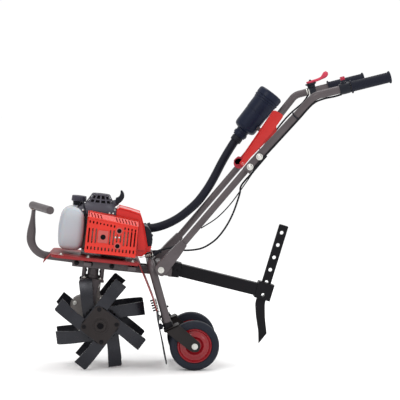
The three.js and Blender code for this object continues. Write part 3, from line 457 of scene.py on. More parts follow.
def prism(bm, loop, plane, depth0, depth1):
    """An outline without holes, between two depths."""
    put = AXES[plane]
    bridge(bm, [[put(u, v, depth0) for u, v in loop], [put(u, v, depth1) for u, v in loop]])


def turn_to(direction):
    """The turn that takes +Z to a direction."""
    return Vector((0, 0, 1)).rotation_difference(Vector(direction).normalized())


def lathe(bm, profile, origin=(0, 0, 0), direction=(0, 0, 1), count=40, start=0.0, closed=False):
    """Turns [radius, height] pairs about a line. A radius of 0 at an end closes it with a cap."""
    spin = turn_to(direction)
    loops = []
    for radius, height in profile:
        r = max(radius, 0.02)
        loops.append([spin @ Vector((*p, height)) + Vector(origin)
                      for p in ring(r, count=count, start=start)])
    bridge(bm, loops, closed=closed)


def disc(bm, radius, low, high, origin=(0, 0, 0), direction=(0, 0, 1), count=40):
    """A plain round plug between two heights along its line."""
    lathe(bm, [(0, low), (radius, low), (radius, high), (0, high)], origin, direction, count)


def collar(bm, inner, outer, low, high, origin=(0, 0, 0), direction=(0, 0, 1), count=32):
    """A plain ring between two heights along its line."""
    profile = [(inner, low), (outer, low), (outer, high), (inner, high)]
    lathe(bm, profile, origin, direction, count, closed=True)


def bolt(bm, at, direction, size=6.0, washer=True, dome=False, socket=True):
    """A hexagon or dome head of that across-corners radius, standing on a face."""
    at, direction = Vector(at), Vector(direction).normalized()
    height = size * 0.75
    base = 0.0
    if washer:
        lathe(bm, [(0, -0.2), (size * 1.5, -0.2), (size * 1.5, size * 0.16), (size * 1.38, size * 0.22),
                   (0, size * 0.22)], at, direction, 24)
        base = size * 0.22
    if dome:
        arc = [(size * 1.05 * math.cos(a), base + height * 0.95 * math.sin(a))
               for a in (math.pi / 2 * k / 6 for k in range(7))]
        lathe(bm, [(0, base - 0.2), *arc], at, direction, 24)
        return
    lathe(bm, [(0, base - 0.2), (size, base - 0.2), (size, base + height * 0.86),
               (size * 0.86, base + height), (0, base + height)], at, direction, 6)
    if socket:
        lathe(bm, [(0, base + height - 0.1), (size * 0.55, base + height - 0.1),
                   (size * 0.5, base + height + size * 0.3), (0, base + height + size * 0.34)],
              at, direction, 16)


def smooth_route(points, step):
    """A Catmull-Rom curve through points, at about even steps."""
    knots = [Vector(p) for p in points]
    knots = [knots[0] * 2 - knots[1], *knots, knots[-1] * 2 - knots[-2]]
    route = []
    for a, b, c, d in zip(knots, knots[1:], knots[2:], knots[3:]):
        count = max(2, round((c - b).length / step))
        for k in range(count):
            t = k / count
            route.append(0.5 * (2 * b + (c - a) * t + (2 * a - 5 * b + 4 * c - d) * t * t
                                + (3 * b - a - 3 * c + d) * t ** 3))
    route.append(knots[-2])
    return route


def bent_route(points, radius, steps=10):
    """Straight runs with a round bend of a radius at each inner corner."""
    corners = [Vector(p) for p in points]
    route = [corners[0]]
    for before, here, after in zip(corners, corners[1:], corners[2:]):
        arrive, depart = (here - before).normalized(), (after - here).normalized()
        angle = arrive.angle(depart)
        setback = radius * math.tan(angle / 2)
        centre = here + (depart - arrive).normalized() * radius / math.cos(angle / 2)
        spoke = here - arrive * setback - centre
        axis = arrive.cross(depart)
        for k in range(steps + 1):
            route.append(centre + Quaternion(axis, angle * k / steps) @ spoke)
    route.append(corners[-1])
    return route


def sweep(bm, route, radius, count=16, section=None, caps=True):
    """A tube along a route. section(point) may give (wide, deep) scales of the round section."""
    route = [Vector(p) for p in route]
    last = len(route) - 1
    tangents = [(route[min(i + 1, last)] - route[max(i - 1, 0)]).normalized() for i in range(last + 1)]
    side = tangents[0].cross(Vector((0, 1, 0)))
    if side.length < 0.1:
        side = tangents[0].cross(Vector((0, 0, 1)))
    side.normalize()
    rings = []
    for i, (point, tangent) in enumerate(zip(route, tangents)):
        if i:
            side = tangents[i - 1].rotation_difference(tangent) @ side
        other = tangent.cross(side).normalized()
        wide, deep = section(point) if section else (1, 1)
        rings.append([point + side * u * wide + other * v * deep for u, v in ring(radius, count=count)])
    bridge(bm, rings, caps=caps)


def hollow_end(bm, at, direction, radius, wall=2.2, depth=18, count=24):
    """The open end of a cut tube, seen as a rim with a dark bore."""
    lathe(bm, [(radius, 0), (radius, 0.6), (radius - wall, 0.6), (radius - wall, -depth), (0, -depth)],
          at, direction, count)


def dress(node, material, bevel=0.8):
    """Keeps a CAD node and gives it its finish and soft edges."""
    piece = NODES[node]
    mesh = piece.data
    mesh.materials.clear()
    mesh.materials.append(material)
    for polygon in mesh.polygons:
        polygon.use_smooth = True
        polygon.material_index = 0
    modifier = piece.modifiers.new("weld", "WELD")
    modifier.merge_threshold = 1e-5
    round_edges(piece, bevel)


def smoothstep(x, low, high):
    """0 below low, 1 above high, and an even curve between."""
    t = min(1.0, max(0.0, (x - low) / (high - low)))
    return t * t * (3 - 2 * t)


def superellipse(x0, x1, y0, y1, z, power, count=56):
    """A loop between an ellipse (power 2) and a rounded rectangle (higher powers)."""
    cx, cy, rx, ry = (x0 + x1) / 2, (y0 + y1) / 2, (x1 - x0) / 2, (y1 - y0) / 2
    loop = []
    for i in range(count):
        a = 2 * math.pi * i / count
        c, s = math.cos(a), math.sin(a)
        r = (abs(c) ** power + abs(s) ** power) ** (-1 / power)
        loop.append((cx + rx * r * c, cy + ry * r * s, z))
    return loop


def bolts(name, places, material=None, matrix=CHASSIS, body="frame", **style):
    """One piece of several like bolts: places are (point, direction)."""
    bm = bmesh.new()
    for at, direction in places:
        bolt(bm, at, direction, **style)
    return build(name, bm, material or BOLT_STEEL, matrix, body, bevel=0.25)


def turned(name, profile, material, at=(0, 0, 0), direction=(0, 0, 1), count=40, closed=False, **finish):
    """One piece turned about a line. The finish goes on to build."""
    bm = bmesh.new()
    lathe(bm, profile, at, direction, count, closed=closed)
    return build(name, bm, material, **finish)


def swept(name, route, radius, material, count=12, **finish):
    """One piece of round section along a route. The finish goes on to build."""
    bm = bmesh.new()
    sweep(bm, route, radius, count)
    return build(name, bm, material, **finish)


# ------------------------------------------------------------------ hose and cables
HOSE_ROUTE = [
    from_chassis(125, 95.6, 312.7), (189, 94, 451), (227, 98, 463), (266, 106, 483),
    (306, 118, 513), (335, 132, 540), (367, 152, 581), (392, 172, 621), (415, 192, 662),
    (438, 210, 699), (458, 222, 729), (473.4, 224.9, 749.4)]
CLUTCH_CABLE_ROUTE = [
    on_handle(500, -UPPER_Y - 10, -17), on_handle(440, -UPPER_Y - 2, -18), (457, -137, 606),
    (452, -122, 576), (433, -108, 516), (410, -98, 469), (382, -90, 431), (355, -84, 409),
    (330, -78, 396), (300, -70, 390), (270, -64, 389), (232, -58, 395), (196, -52, 387),
    (171.6, -48, 372)]
THROTTLE_CABLE_ROUTE = [
    on_grip(44, 0.93, -8), (700, 244, 868), (640, 206, 818), (560, 168, 724), (470, 116, 620),
    (422, 96, 562), (377, 78, 505), (326, 50, 447), (265, 30, 400), (215, 34, 384),
    (171.6, 38, 372)]


def blended_tube(name, points, radius, step, material, node, count):
    """A tube in place of a CAD node, along a smooth route from start to end."""
    piece = swept(name, smooth_route(points, step), radius, material, count,
                  matrix=MACHINE, body=None, bevel=0, replaces=(node,))
    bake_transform(piece)
    return piece


def cords():
    """The air hose and both cables, run from the frame to the handlebar."""
    blended_tube("air_hose_tube", HOSE_ROUTE, 14.5, 6, HOSE_RUBBER, "air_hose", 24)
    for name, route in (("clutch_cable", CLUTCH_CABLE_ROUTE), ("throttle_cable", THROTTLE_CABLE_ROUTE)):
        blended_tube(f"{name}_tube", route, 3, 6, CABLE_SKIN, name, 10)


# ------------------------------------------------------------------ chassis steelwork
RAIL_FACE = 41.2
PIVOT_BOLT_Y = 154.6
STEM_X = -256.0
DECK_SHEET = 2.5


def main_frame():
    """The CAD rails, with the bolts of the rails and of the handle pivots."""
    dress("main_frame", FRAME_PAINT, 0.9)
    rail = [((x, side * RAIL_FACE, 188), (0, side, 0)) for side in (LEFT, RIGHT) for x in (-98, -52, 18, 88)]
    bolts("rail_bolts", rail, BLACK_PAINT, size=5.5)
    ends = [((PIVOT[0], side * PIVOT_BOLT_Y, PIVOT[1]), (0, side, 0)) for side in (LEFT, RIGHT)]
    bolts("pivot_bolts", ends, size=6.8)


def front_handle():
    """Bent stem pressed flat under a round cross grip, with the weld between them."""
    bm = bmesh.new()
    stem = bent_route([(-75, 0, 194), (STEM_X, 0, 199), (STEM_X, 0, 352)], 58, 14)
    stem = stem[:-1] + [stem[-2].lerp(stem[-1], k / 12) for k in range(1, 13)]

    def squashed(point):
        press = smoothstep(point.z, 268, 336)
        swell = 1 + 0.12 * smoothstep(point.z, 216, 250) * (1 - smoothstep(point.z, 262, 300))
        return swell * (1 - 0.46 * press), 1 + 0.3 * press

    sweep(bm, stem, TUBE_R, 28, squashed)
    near, far = Vector((-198, -132, 357)), Vector((-262, 14, 357))
    along = (near - far).normalized()
    sweep(bm, [far, near - along * 0.5], TUBE_R, 32)
    hollow_end(bm, near - along * 0.6, along, TUBE_R, count=32)
    lathe(bm, [(0, 0), (TUBE_R, 0), (TUBE_R * 0.9, 2.5), (TUBE_R * 0.5, 4), (0, 4.4)], far, -along, 32)
    build("front_handle_tube", bm, FRAME_PAINT, bevel=0.4, replaces=("front_handle",))
    weld_ring = [(STEM_X + 9.5 * math.cos(a), 17 * math.sin(a), 346 + 0.7 * math.sin(5 * a))
                 for a in (2 * math.pi * k / 40 for k in range(41))]
    swept("front_handle_weld", weld_ring, 1.7, DULL_STEEL, 8, bevel=0)


def deck_outline(inset, radius):
    """The deck from above, its front corners round."""
    return rounded([
        (DECK_FRONT + inset, -DECK_HALF + inset, radius), (DECK_REAR, -DECK_HALF + inset),
        (DECK_REAR, DECK_HALF - inset), (DECK_FRONT + inset, DECK_HALF - inset, radius)], 8)


def deck_guard():
    """Pressed deck with a turned-down lip, a sloping rear flap and a front lip."""
    bm = bmesh.new()
    hole = [(COLUMN_X + x, y) for x, y in ((-30, -30), (30, -30), (30, 30), (-30, 30))]
    sheet_plate(bm, deck_outline(1.2, 42), [hole], XY, DECK_TOP - DECK_SHEET, DECK_TOP)
    levels = [(0.4, DECK_TOP - 2.2), (0.0, DECK_TOP - 3.2), (0.0, DECK_TOP - 9.5),
              (DECK_SHEET, DECK_TOP - 9.5), (DECK_SHEET, DECK_TOP - DECK_SHEET)]
    bridge(bm, [[(x, y, z) for x, y in deck_outline(inset, 42)] for inset, z in levels], caps=False)
    flap = [(DECK_REAR - 3, 215), (104, 213.6), (107.6, 208), (110, 203), (139, 148), (167.5, 93),
            (178.7, 66), (176.4, 65.4), (165, 92.2), (136.7, 147), (107.6, 202), (104, 208),
            (101, 211.6), (DECK_REAR - 3, 212.5)]
    prism(bm, flap, XZ, -DECK_HALF, DECK_HALF)
    front = [(DECK_FRONT, 212.5), (DECK_FRONT + 3, 213.5), (-205, 181), (-207, 182.4)]
    prism(bm, front, XZ, -80, 80)
    build("deck_sheet", bm, RED_PAINT, bevel=0.7, replaces=("deck_guard",))
    places = [((x, y, DECK_TOP), (0, 0, 1)) for x in (-150, -62, 83) for y in (-104, 104)]
    bolts("deck_bolts", places, size=5.2)


def rubber_flap():
    """Slightly wavy skirt under the rear flap, and its screws on the seen side."""
    line = [(181, 76), (186.5, 46), (192.4, 14), (201, -12), (211, -42), (220, -73), (229, -104)]
    front = [(x - 3.6, z) for x, z in line]
    bm = bmesh.new()
    sections = 13
    half = DECK_HALF - 4

    def wavy(y):
        return [(x + 1.1 * math.sin(y / 17.0) * (line[0][1] - z) / 180, y, z)
                for x, z in line + front[::-1]]

    bridge(bm, [wavy(-half + 2 * half * k / (sections - 1)) for k in range(sections)])
    build("rubber_skirt", bm, FLAP_RUBBER, bevel=0.5, replaces=("rubber_flap",))
    normal = Vector((-0.92, 0, -0.39))
    start, run = Vector((163.5, -118, 101)), Vector((13.2, 0, -31))
    near_row = [start + run * k / 4 for k in range(5)]
    rear, front_ends = [], bmesh.new()
    for at in near_row:
        rear.append((at - normal * 1.8, -normal))
        lathe(front_ends, [(0, 0), (4.6, 0), (4.6, 3.6), (2.7, 3.6), (2.7, 12.5), (0, 13)], at, normal, 12)
    build("flap_screw_ends", front_ends, BLACK_PAINT, bevel=0.2)
    bolts("flap_screws", rear, size=3.6)


LEG_TOP = Vector((143, 0, 213.7))
LEG_DOWN = (Vector((222, 0, 15)) - LEG_TOP).normalized()
LEG_LENGTH = 212


def leg_point(distance, y):
    """A point by its distance down a leg."""
    return LEG_TOP + LEG_DOWN * distance + Vector((0, y, 0))


def wheel_legs():
    """The bent tube of both legs and the plate that holds the cables."""
    route = bent_route([leg_point(LEG_LENGTH, -LEG_Y), leg_point(0, -LEG_Y), leg_point(0, LEG_Y),
                        leg_point(LEG_LENGTH, LEG_Y)], 38, 12)
    swept("wheel_leg_tube", route, TUBE_R, FRAME_PAINT, 28, bevel=0.5, replaces=("wheel_legs",))
    bm = bmesh.new()
    plate = rounded_box(-64, 58, 222, 248, 5)
    holes = [ring(4, y, 238, 16) for y in (-48, -10, 38)]
    sheet_plate(bm, plate, holes, YZ, 141.5, 144.5)
    build("cable_plate", bm, BLACK_PAINT, bevel=0.5)


def leg_fittings():
    """Clamps, knobs and spring clips at the foot of each leg."""
    clamps = bmesh.new()
    knobs = bmesh.new()
    forward = Vector((LEG_DOWN.z, 0, -LEG_DOWN.x))
    for y in (-LEG_Y, LEG_Y):
        foot = leg_point(LEG_LENGTH - 16, y)
        lathe(clamps, [(TUBE_R + 0.4, 0), (TUBE_R + 3, 0.5), (TUBE_R + 3, 17), (TUBE_R + 0.4, 17.5)],
              foot, LEG_DOWN, 28, closed=True)
        lathe(knobs, [(0, 12), (4, 12), (4, 18), (9, 19), (10, 22), (10, 27), (8, 30), (0, 30.5)],
              foot + LEG_DOWN * 8, forward, 18)
        lathe(clamps, [(0, 12), (3.6, 12), (3.6, 17), (2.4, 18.5), (0, 18.5)],
              leg_point(LEG_LENGTH - 36, y), -forward, 14)
    build("leg_clamps", clamps, BLACK_PAINT, bevel=0.4)
    build("leg_knobs", knobs, BLACK_PLASTIC, bevel=0.6)
    clips = bmesh.new()
    for y in (-LEG_Y, LEG_Y):
        top = leg_point(LEG_LENGTH - 44, y) + forward * (TUBE_R + 3)
        hoop = [top + LEG_DOWN * (18 * t) + forward * (7 * math.sin(math.pi * t)) for t in
                (k / 10 for k in range(11))]
        sweep(clips, hoop, 1.3, 8)
    build("leg_spring_clips", clips, BOLT_STEEL, bevel=0)


def drive_column():
    """The CAD column with its bolts and collars."""
    dress("drive_column", FRAME_PAINT, 0.8)
    ears = [((COLUMN_X + dx, dy, 139), (0, 0, 1)) for dx in (-26, 26) for dy in (-22, 22)]
    bolts("column_bolts", ears, size=4.6)
    pins = [((COLUMN_X + dx, -12.2, z), (0, -1, 0)) for dx in (-26, 26) for z in (146, 164)]
    bolts("column_post_bolts", pins, BLACK_PAINT, size=4.2)
    bm = bmesh.new()
    for low, high, outer in ((176, 184, 20.5), (140, 150, 21.5)):
        lathe(bm, [(18.2, low), (outer, low + 0.6), (outer, high), (18.2, high + 0.6)], (COLUMN_X, 0, 0),
              count=32, closed=True)
    build("column_collars", bm, FRAME_PAINT, bevel=0.4)


def column_straps():
    """Drilled straps over the gearbox and the posts beside the column."""
    strap, behind = bmesh.new(), bmesh.new()
    loop = rounded([(-44, 50, 4), (-24, 50, 4), (-24, 134, 3), (-44, 134, 3)])
    holes = [ring(4.2, -34, z, 20) for z in (72, 90, 108)]
    for side in (LEFT, RIGHT):
        sheet_plate(strap, loop, holes, XZ, side * 34.8, side * 38)
        # Painted shade: near-black sheets behind the strap holes.
        prism(behind, [(-42, 60), (-26, 60), (-26, 120), (-42, 120)], XZ, side * 34.4, side * 35)
    build("column_straps", strap, FRAME_PAINT, bevel=0.5)
    build("column_strap_shadows", behind, PAINTED_SHADE_BLACK, bevel=0)
    posts = bmesh.new()
    for x in (COLUMN_X - 30, COLUMN_X + 30):
        disc(posts, 6.5, 132, 186, (x, -14, 0), count=20)
        disc(posts, 9, 128, 136, (x, -14, 0), count=6)
    build("column_posts", posts, FRAME_PAINT, bevel=0.6)


def gearbox():
    """Both case halves with their bolts and front ribs."""
    for side in ("left", "right"):
        dress(f"gearbox_case_{side}", CAST_ALLOY, 1.6)
    spots = [(-90, 54), (-62, -38), (14, -42), (42, 22), (-4, 74), (-62, 118), (-20, 118)]
    for name, side in SIDES:
        bolts(f"gearbox_bolts_{name}", [((x, side * 28, z), (0, side, 0)) for x, z in spots], size=4.6)
    bm = bmesh.new()
    for y in (-16, -5.5, 5.5, 16):
        loop = rounded([(-104, 58, 6), (-104, -4, 20), (-96, -4, 14), (-96, 58, 4)])
        prism(bm, loop, XZ, y - 1.2, y + 1.2)
    build("gearbox_ribs", bm, CAST_ALLOY, bevel=0.5)


# ------------------------------------------------------------------ tines
BLADE_WIDTH = 40.0
BLADE_REACH = 149.0
BLADE_OFFSET = 33.0
BLADE_STRAIGHT = 85.0
BLADE_THICK = 5.0
BLADE_BEND = 22.0
STARS = (("outer", 113.0, 52.0), ("inner", 77.0, 97.0))


def spin_y(angle):
    """A turn about the axle, in degrees."""
    return Matrix.Rotation(-math.radians(angle), 4, "Y")


def blade(bm, angle, y, bend):
    """A forged bar beside the axle whose outer end curves sideways to a trimmed tip."""
    turn = Matrix.Translation((0, y, 0)) @ spin_y(angle)
    v0, v1 = BLADE_OFFSET - BLADE_WIDTH / 2, BLADE_OFFSET + BLADE_WIDTH / 2
    stations = [-30, 10, 60, BLADE_STRAIGHT] + [
        BLADE_STRAIGHT + (BLADE_REACH - BLADE_STRAIGHT) * k / 12 for k in range(1, 13)]
    rings = []
    for u in stations:
        t = max(0.0, (u - BLADE_STRAIGHT) / (BLADE_REACH - BLADE_STRAIGHT))
        w = bend * BLADE_BEND * t ** 1.6
        trim = 3 * smoothstep(u, BLADE_REACH - 6, BLADE_REACH)
        flare = 5 * t
        thick = BLADE_THICK / 2 * (1 - 0.3 * smoothstep(u, BLADE_REACH - 12, BLADE_REACH))
        rings.append([turn @ Vector(p) for p in (
            (u, w - thick, v0 - flare), (u, w - thick, v1 - trim),
            (u, w + thick, v1 - trim), (u, w + thick, v0 - flare))])
    bridge(bm, rings)


def tine_hub(name, side):
    """The square plates and tube of one hub, its bolts, weld, and a near-black disc of painted shade in the
    mouth of its bore.
    """
    hub = bmesh.new()
    for star, y, first in STARS:
        face = y + 2.8 if star == "outer" else y - 6.8
        turn = spin_y(first)
        sheet_plate(hub, rounded_box(-50, 50, -50, 50, 20, 6), [ring(10.4, count=24)],
                    lambda u, v, w, turn=turn: tuple(turn @ Vector((u, w, v))),
                    side * face, side * (face + 4))
    outward = (0, side, 0)
    lathe(hub, [(10.4, 60), (20, 60), (20, 122), (18.5, 122), (18.5, 124.5), (10.4, 124.5)],
          direction=outward, count=32, closed=True)
    build(f"tine_hub_plates_{name}", hub, HUB_PAINT, ROTOR, "tine_rotor", bevel=0.8,
          replaces=(f"tine_hub_{name}",))
    places = []
    for star, y, first in STARS:
        face = side * (y + 6.8 if star == "outer" else y + 2.6)
        for k in range(4):
            a = math.radians(first + 41.4 + 90 * k)
            places.append(((53 * math.cos(a), face, 53 * math.sin(a)), outward))
    bolts(f"tine_bolts_{name}", places, BLACK_PAINT, ROTOR, "tine_rotor", size=4.6)
    end = max(abs(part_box("tine_axle")[0][1]), 0.1245) / MM
    # The mouth is a near-black disc of painted shade at the end of the bore.
    for part, profile, y, material, count in (
            ("mouth", [(0, 0), (10, 0), (10, 0.8), (0, 0.8)], end, PAINTED_SHADE_BLACK, 32),
            ("weld", [(24, 0), (27, 1.6), (30, 0)], 119.6, HUB_PAINT, 40)):
        turned(f"tine_hub_{part}_{name}", profile, material, (0, side * y, 0), outward, count,
               matrix=ROTOR, body="tine_rotor", bevel=0)


def tines():
    """Sixteen blades in four stars, the hubs, and the CAD shafts."""
    for name, side in SIDES:
        for star, y, first in STARS:
            bm = bmesh.new()
            for k in range(4):
                blade(bm, first + 90 * k, side * y, -side)
            build(f"tine_blades_{name}_{star}", bm, TINE_PAINT, ROTOR, "tine_rotor", bevel=0.7,
                  replaces=(f"tines_{name}_{star}",))
        tine_hub(name, side)
    dress("tine_axle", DULL_STEEL, 0.8)
    dress("worm_wheel", CAST_ALLOY, 0.3)
    dress("drive_shaft", BOLT_STEEL, 0)
    dress("clutch_drum", DULL_STEEL, 0)


# ------------------------------------------------------------------ engine
GUARD_FACE, GUARD_BACK = -112.0, -109.6
GUARD_LEFT, GUARD_RIGHT = -76.5, 89.5
GUARD_PORTS = ((-21, 287, 8.6), (29.3, 312, 7.2), (28.1, 262.3, 7.2))
BEVEL_DEPTH, BEVEL_RISE = 25.0, 17.5
SLOT_PITCH = 11.45
LOUVRE_PITCH = 10.2
LOUVRE_LEAN = 5.5
LOUVRES = (0, 1, 2, 3, 8, 9, 10, 11, 12, 13, 14)


def ridge_height(x):
    """Height of the guard's ridge, which falls toward the rear."""
    return 346.0 - (x + 72.0) * 0.103


def on_bevel(u, v, w):
    """u along X, v from 0 at the ridge to 1 at the top of the bevel, w in from the surface."""
    y = GUARD_FACE + BEVEL_DEPTH * v
    z = ridge_height(u) + BEVEL_RISE * v
    return (u, y + 0.57 * w, z - 0.82 * w)


def guard_slots():
    """Rows of upright slots, left out round the ports."""
    holes = []
    for i in range(14):
        x = -67.5 + i * SLOT_PITCH
        top = ridge_height(x) - 12.5
        holes.append(slot_loop(x, 248, 4.6, 12))
        if not 22 < x < 37:
            holes.append(slot_loop(x, top, 4.6, 9.5 if abs(x + 21) > 20 else 7))
        if abs(x + 21) < 19:
            continue
        if 20 < x < 38:
            holes.append(slot_loop(x, 287, 4.6, 26))
            continue
        holes.append(slot_loop(x, 288.5, 4.8, 49))
    return holes + [ring(r, x, z, 24) for x, z, r in GUARD_PORTS]


def guard():
    """Pressed heat guard of the silencer: slotted face, louvred bevel, rounded ridge."""
    outer = rounded([(GUARD_LEFT, 233, 6), (-72.5, ridge_height(-72.5)), (88, ridge_height(88)),
                     (GUARD_RIGHT, 230, 6)])
    bm = bmesh.new()
    sheet_plate(bm, outer, guard_slots(), XZ, GUARD_FACE, GUARD_BACK)
    louvres = []
    for i in LOUVRES:
        x = -64 + i * LOUVRE_PITCH
        louvres.append([(x - 1.6 - LOUVRE_LEAN / 2, 0.86), (x + 1.8 - LOUVRE_LEAN / 2, 0.86),
                        (x + 1.8 + LOUVRE_LEAN / 2, 0.2), (x - 1.6 + LOUVRE_LEAN / 2, 0.2)])
    sheet_plate(bm, [(-72.5, 0), (88, 0), (87, 1), (-72, 1)], louvres, on_bevel, 0, 2.4)
    top = [(-72, -87, ridge_height(-72) + 17.5), (87, -87, ridge_height(87) + 17.5),
           (87, -62, ridge_height(87) + 19.5), (-72, -62, ridge_height(-72) + 19.5)]
    bridge(bm, [top, [(x, y, z - 2.4) for x, y, z in top]])
    for x, low in ((GUARD_LEFT, 233), (GUARD_RIGHT - 2.4, 230)):
        edge = -72.5 if x < 0 else 88
        side_loop = [(-111, low), (-111, ridge_height(edge)), (-87, ridge_height(edge) + 17),
                     (-62, ridge_height(edge) + 19), (-62, low)]
        prism(bm, side_loop, YZ, x, x + 2.4)
    build("guard_shell", bm, GUARD_RED, bevel=0.6, replaces=("muffler_guard",))


def guard_trim():
    """Rounded ridges and raised pads of the guard, with dark red sheets of painted shade behind its louvres
    and slots, and near-black port cups of painted shade.
    """
    bm = bmesh.new()
    sweep(bm, [(x, -111.2, ridge_height(x) + 0.6) for x in (-73.5, -40, 0, 40, 89)], 2.9, 16)
    for x, low in ((GUARD_LEFT + 1.6, 236), (GUARD_RIGHT - 1.8, 233)):
        top_x = -72.5 + 1.6 if x < 0 else 86.6
        sweep(bm, [(x, -110.8, low), ((x + top_x) / 2, -110.8, 290), (top_x, -110.8, ridge_height(top_x))],
              2.2, 12)
    block(bm, GUARD_LEFT + 2, GUARD_RIGHT - 2, -112.8, -109.6, 231.5, 237.5)
    build("guard_ridges", bm, GUARD_RED, bevel=0.8)
    bm = bmesh.new()
    pad = rounded_box(-38, -5, 268, 308, 3)
    sheet_plate(bm, pad, [ring(8.6, -21, 287, 24)], XZ, -114.0, -109.8)
    for x, z, r in GUARD_PORTS[1:]:
        sheet_plate(bm, ring(r + 3.4, x, z, 28), [ring(r, x, z, 24)], XZ, -113.6, -109.8)
    build("guard_pads", bm, PAD_RED, bevel=0.5)
    bm = bmesh.new()
    # Painted shade: dark red sheets under the louvred bevel and behind the slotted face.
    sheet_plate(bm, [(-71, 0.02), (86, 0.02), (85.5, 0.98), (-70.5, 0.98)], [], on_bevel, 2.9, 3.6)
    backing = rounded([(GUARD_LEFT + 3, 238), (-70, ridge_height(-70) - 2), (85, ridge_height(85) - 2),
                       (GUARD_RIGHT - 3, 235)])
    sheet_plate(bm, backing, [], XZ, -95.8, -95.0)
    build("guard_painted_shade", bm, SHADED_RED, bevel=0)
    bm = bmesh.new()
    # Painted shade: near-black cups behind the ports.
    for x, z, r in GUARD_PORTS:
        lathe(bm, [(r - 0.2, -3.5), (r - 0.2, 14), (0, 14)], (x, -110.5, z), (0, 1, 0), 24)
    build("guard_port_cups", bm, PAINTED_SHADE_BLACK, bevel=0)
    screws = [((x, -111.6, 290 + dz), (0, -1, 0)) for x, dz in ((19, 0), (31, 1))]
    bolts("guard_screws", screws, size=3.0, washer=False, dome=True)


def cylinder_cover():
    """Red engine cover with raised ridges and the wedge under the plug cap."""
    loop = rounded([(17, 231), (14.5, 378, 5), (26, 384, 6), (94, 371, 10), (109, 334, 8),
                    (129, 262, 6), (127, 246, 4), (112, 231, 4)], 5)
    bm = bmesh.new()
    inner = [(x + (64 - x) * 0.05, z + (300 - z) * 0.05) for x, z in loop]
    skins = [(-57, inner), (-60, loop), (60, loop), (57, inner)]
    bridge(bm, [[(x, y, z) for x, z in outline] for y, outline in skins])
    build("cover_shell", bm, COVER_RED, bevel=2.2, replaces=("cylinder_cover",))
    bm = bmesh.new()
    ridge = [(22, 383), (58, 377.5), (93.5, 369.5), (108.5, 334), (128, 262)]
    for y in (-59.4, 59.4):
        sweep(bm, [(x, y, z) for x, z in ridge[:3]], 2.4, 12)
    for y in (-61.2, 61.2):
        loop = rounded([(92, 352, 4), (104, 330, 4), (121, 262, 4), (118, 252, 4), (95, 252, 6),
                        (92, 300, 4)], 3)
        prism(bm, loop, XZ, y - 1.6, y + 1.6)
    wedge = rounded([(116, 266), (141.5, 266, 3), (136, 247, 6), (116, 245)], 4)
    prism(bm, wedge, XZ, -44, 44)
    build("cover_ridges", bm, COVER_RED, bevel=1.0)


def plug_cap():
    """Black ribbed cap of the spark plug, and the screws of the cover over it."""
    bm = bmesh.new()
    cap = rounded([(110.5, 331), (121, 330.5, 10), (136.5, 312, 16), (142.6, 288, 16), (141.2, 267, 3),
                   (126.5, 266)], 5)
    prism(bm, cap, XZ, -42, 42)
    for z in (276, 288, 300):
        block(bm, 137, 143.2, -30, 30, z - 1.5, z + 1.5)
    build("plug_cap", bm, BLACK_PLASTIC, bevel=2.4, replaces=("spark_plug_cap",))
    places = [((72, 60, 352), (0, 1, 0)), ((104, 63, 262), (0, 1, 0))]
    bolts("cover_screws", places, size=3.4, washer=False, dome=True)


def muffler():
    """The CAD silencer with ribs on its face."""
    dress("muffler", MUFFLER_STEEL, 3.0)
    bm = bmesh.new()
    for x in (-52, -20, 12, 44):
        prism(bm, rounded_box(x, x + 10, 252, 312, 3), XZ, -100.2, -97)
    build("muffler_ribs", bm, MUFFLER_STEEL, bevel=1.0)


def starter():
    """Recoil starter: square skirt drawn up to a round crown, over the CAD reel."""
    bm = bmesh.new()
    levels = [(350, -94, 12, 58, 7), (352, -96, 13, 59.5, 7), (357, -110, 13, 59.5, 7),
              (361, -116, 13, 59.5, 7), (366, -117, 13, 59.5, 7), (369, -113, 12.5, 58, 7),
              (376, -101, 11, 54, 5), (382, -92, 9.5, 50, 3.2), (386, -88.5, 8, 48.5, 2.2),
              (388.5, -87.5, 7.5, 48, 2)]
    rings = [superellipse(front, rear, -half, half, z, power) for z, front, rear, half, power in levels]
    cx = COLUMN_X + 1
    rings.append([(cx + (x - cx) * 0.93, y * 0.93, z - 0.5) for x, y, z in rings[-1]])
    rings.append([(cx + (x - cx) * 0.93, y * 0.93, z - 12) for x, y, z in rings[-2]])
    bridge(bm, rings, caps=False)
    build("starter_skirt", bm, STARTER_GREY, bevel=0.6, replaces=("starter_housing",))
    # The CAD reel is painted near-black, as painted shade inside the housing.
    dress("starter_reel", PAINTED_SHADE_BLACK, 0)


def starter_grille():
    """Spoked dome over a near-black core of painted shade inside the starter."""
    bm = bmesh.new()
    low, high = (46.8, 387.5), (29.5, 415.5)
    slope = [(low[0] + (high[0] - low[0]) * t, low[1] + (high[1] - low[1]) * t) for t in (0, 0.47, 1)]
    for (radius, z), width in zip(slope, (4.0, 3.2, 4.0)):
        lathe(bm, [(radius - 2.6, z - 1), (radius + 0.6, z - 1.6), (radius - width * 0.3, z + width),
                   (radius - 3.4, z + width - 0.6)], (COLUMN_X, 0, 0), count=48, closed=True)
    spokes = 14
    for k in range(spokes):
        a = 2 * math.pi * (k + 0.5) / spokes
        spin = Matrix.Translation((COLUMN_X, 0, 0)) @ Matrix.Rotation(a, 4, "Z")
        bar = [(-1.8, -2.3), (1.6, -2.6), (1.6, 2.6), (-1.8, 2.3)]
        bridge(bm, [[spin @ Vector((r + u, v, z)) for u, v in bar] for r, z in (slope[0], slope[2])])
    lathe(bm, [(0, 414.5), (31, 414.5), (31.4, 416.4), (29.6, 418.2), (14, 418.6), (12, 417.6), (0, 417.6)],
          (COLUMN_X, 0, 0), count=48)
    build("starter_grille", bm, STARTER_GREY, bevel=0.5)
    # Painted shade: a near-black cone under the grille.
    core = [(0, 386), (43, 386), (27, 411), (0, 411)]
    turned("starter_core_painted_shade", core, PAINTED_SHADE_BLACK, (COLUMN_X, 0, 0), bevel=0)


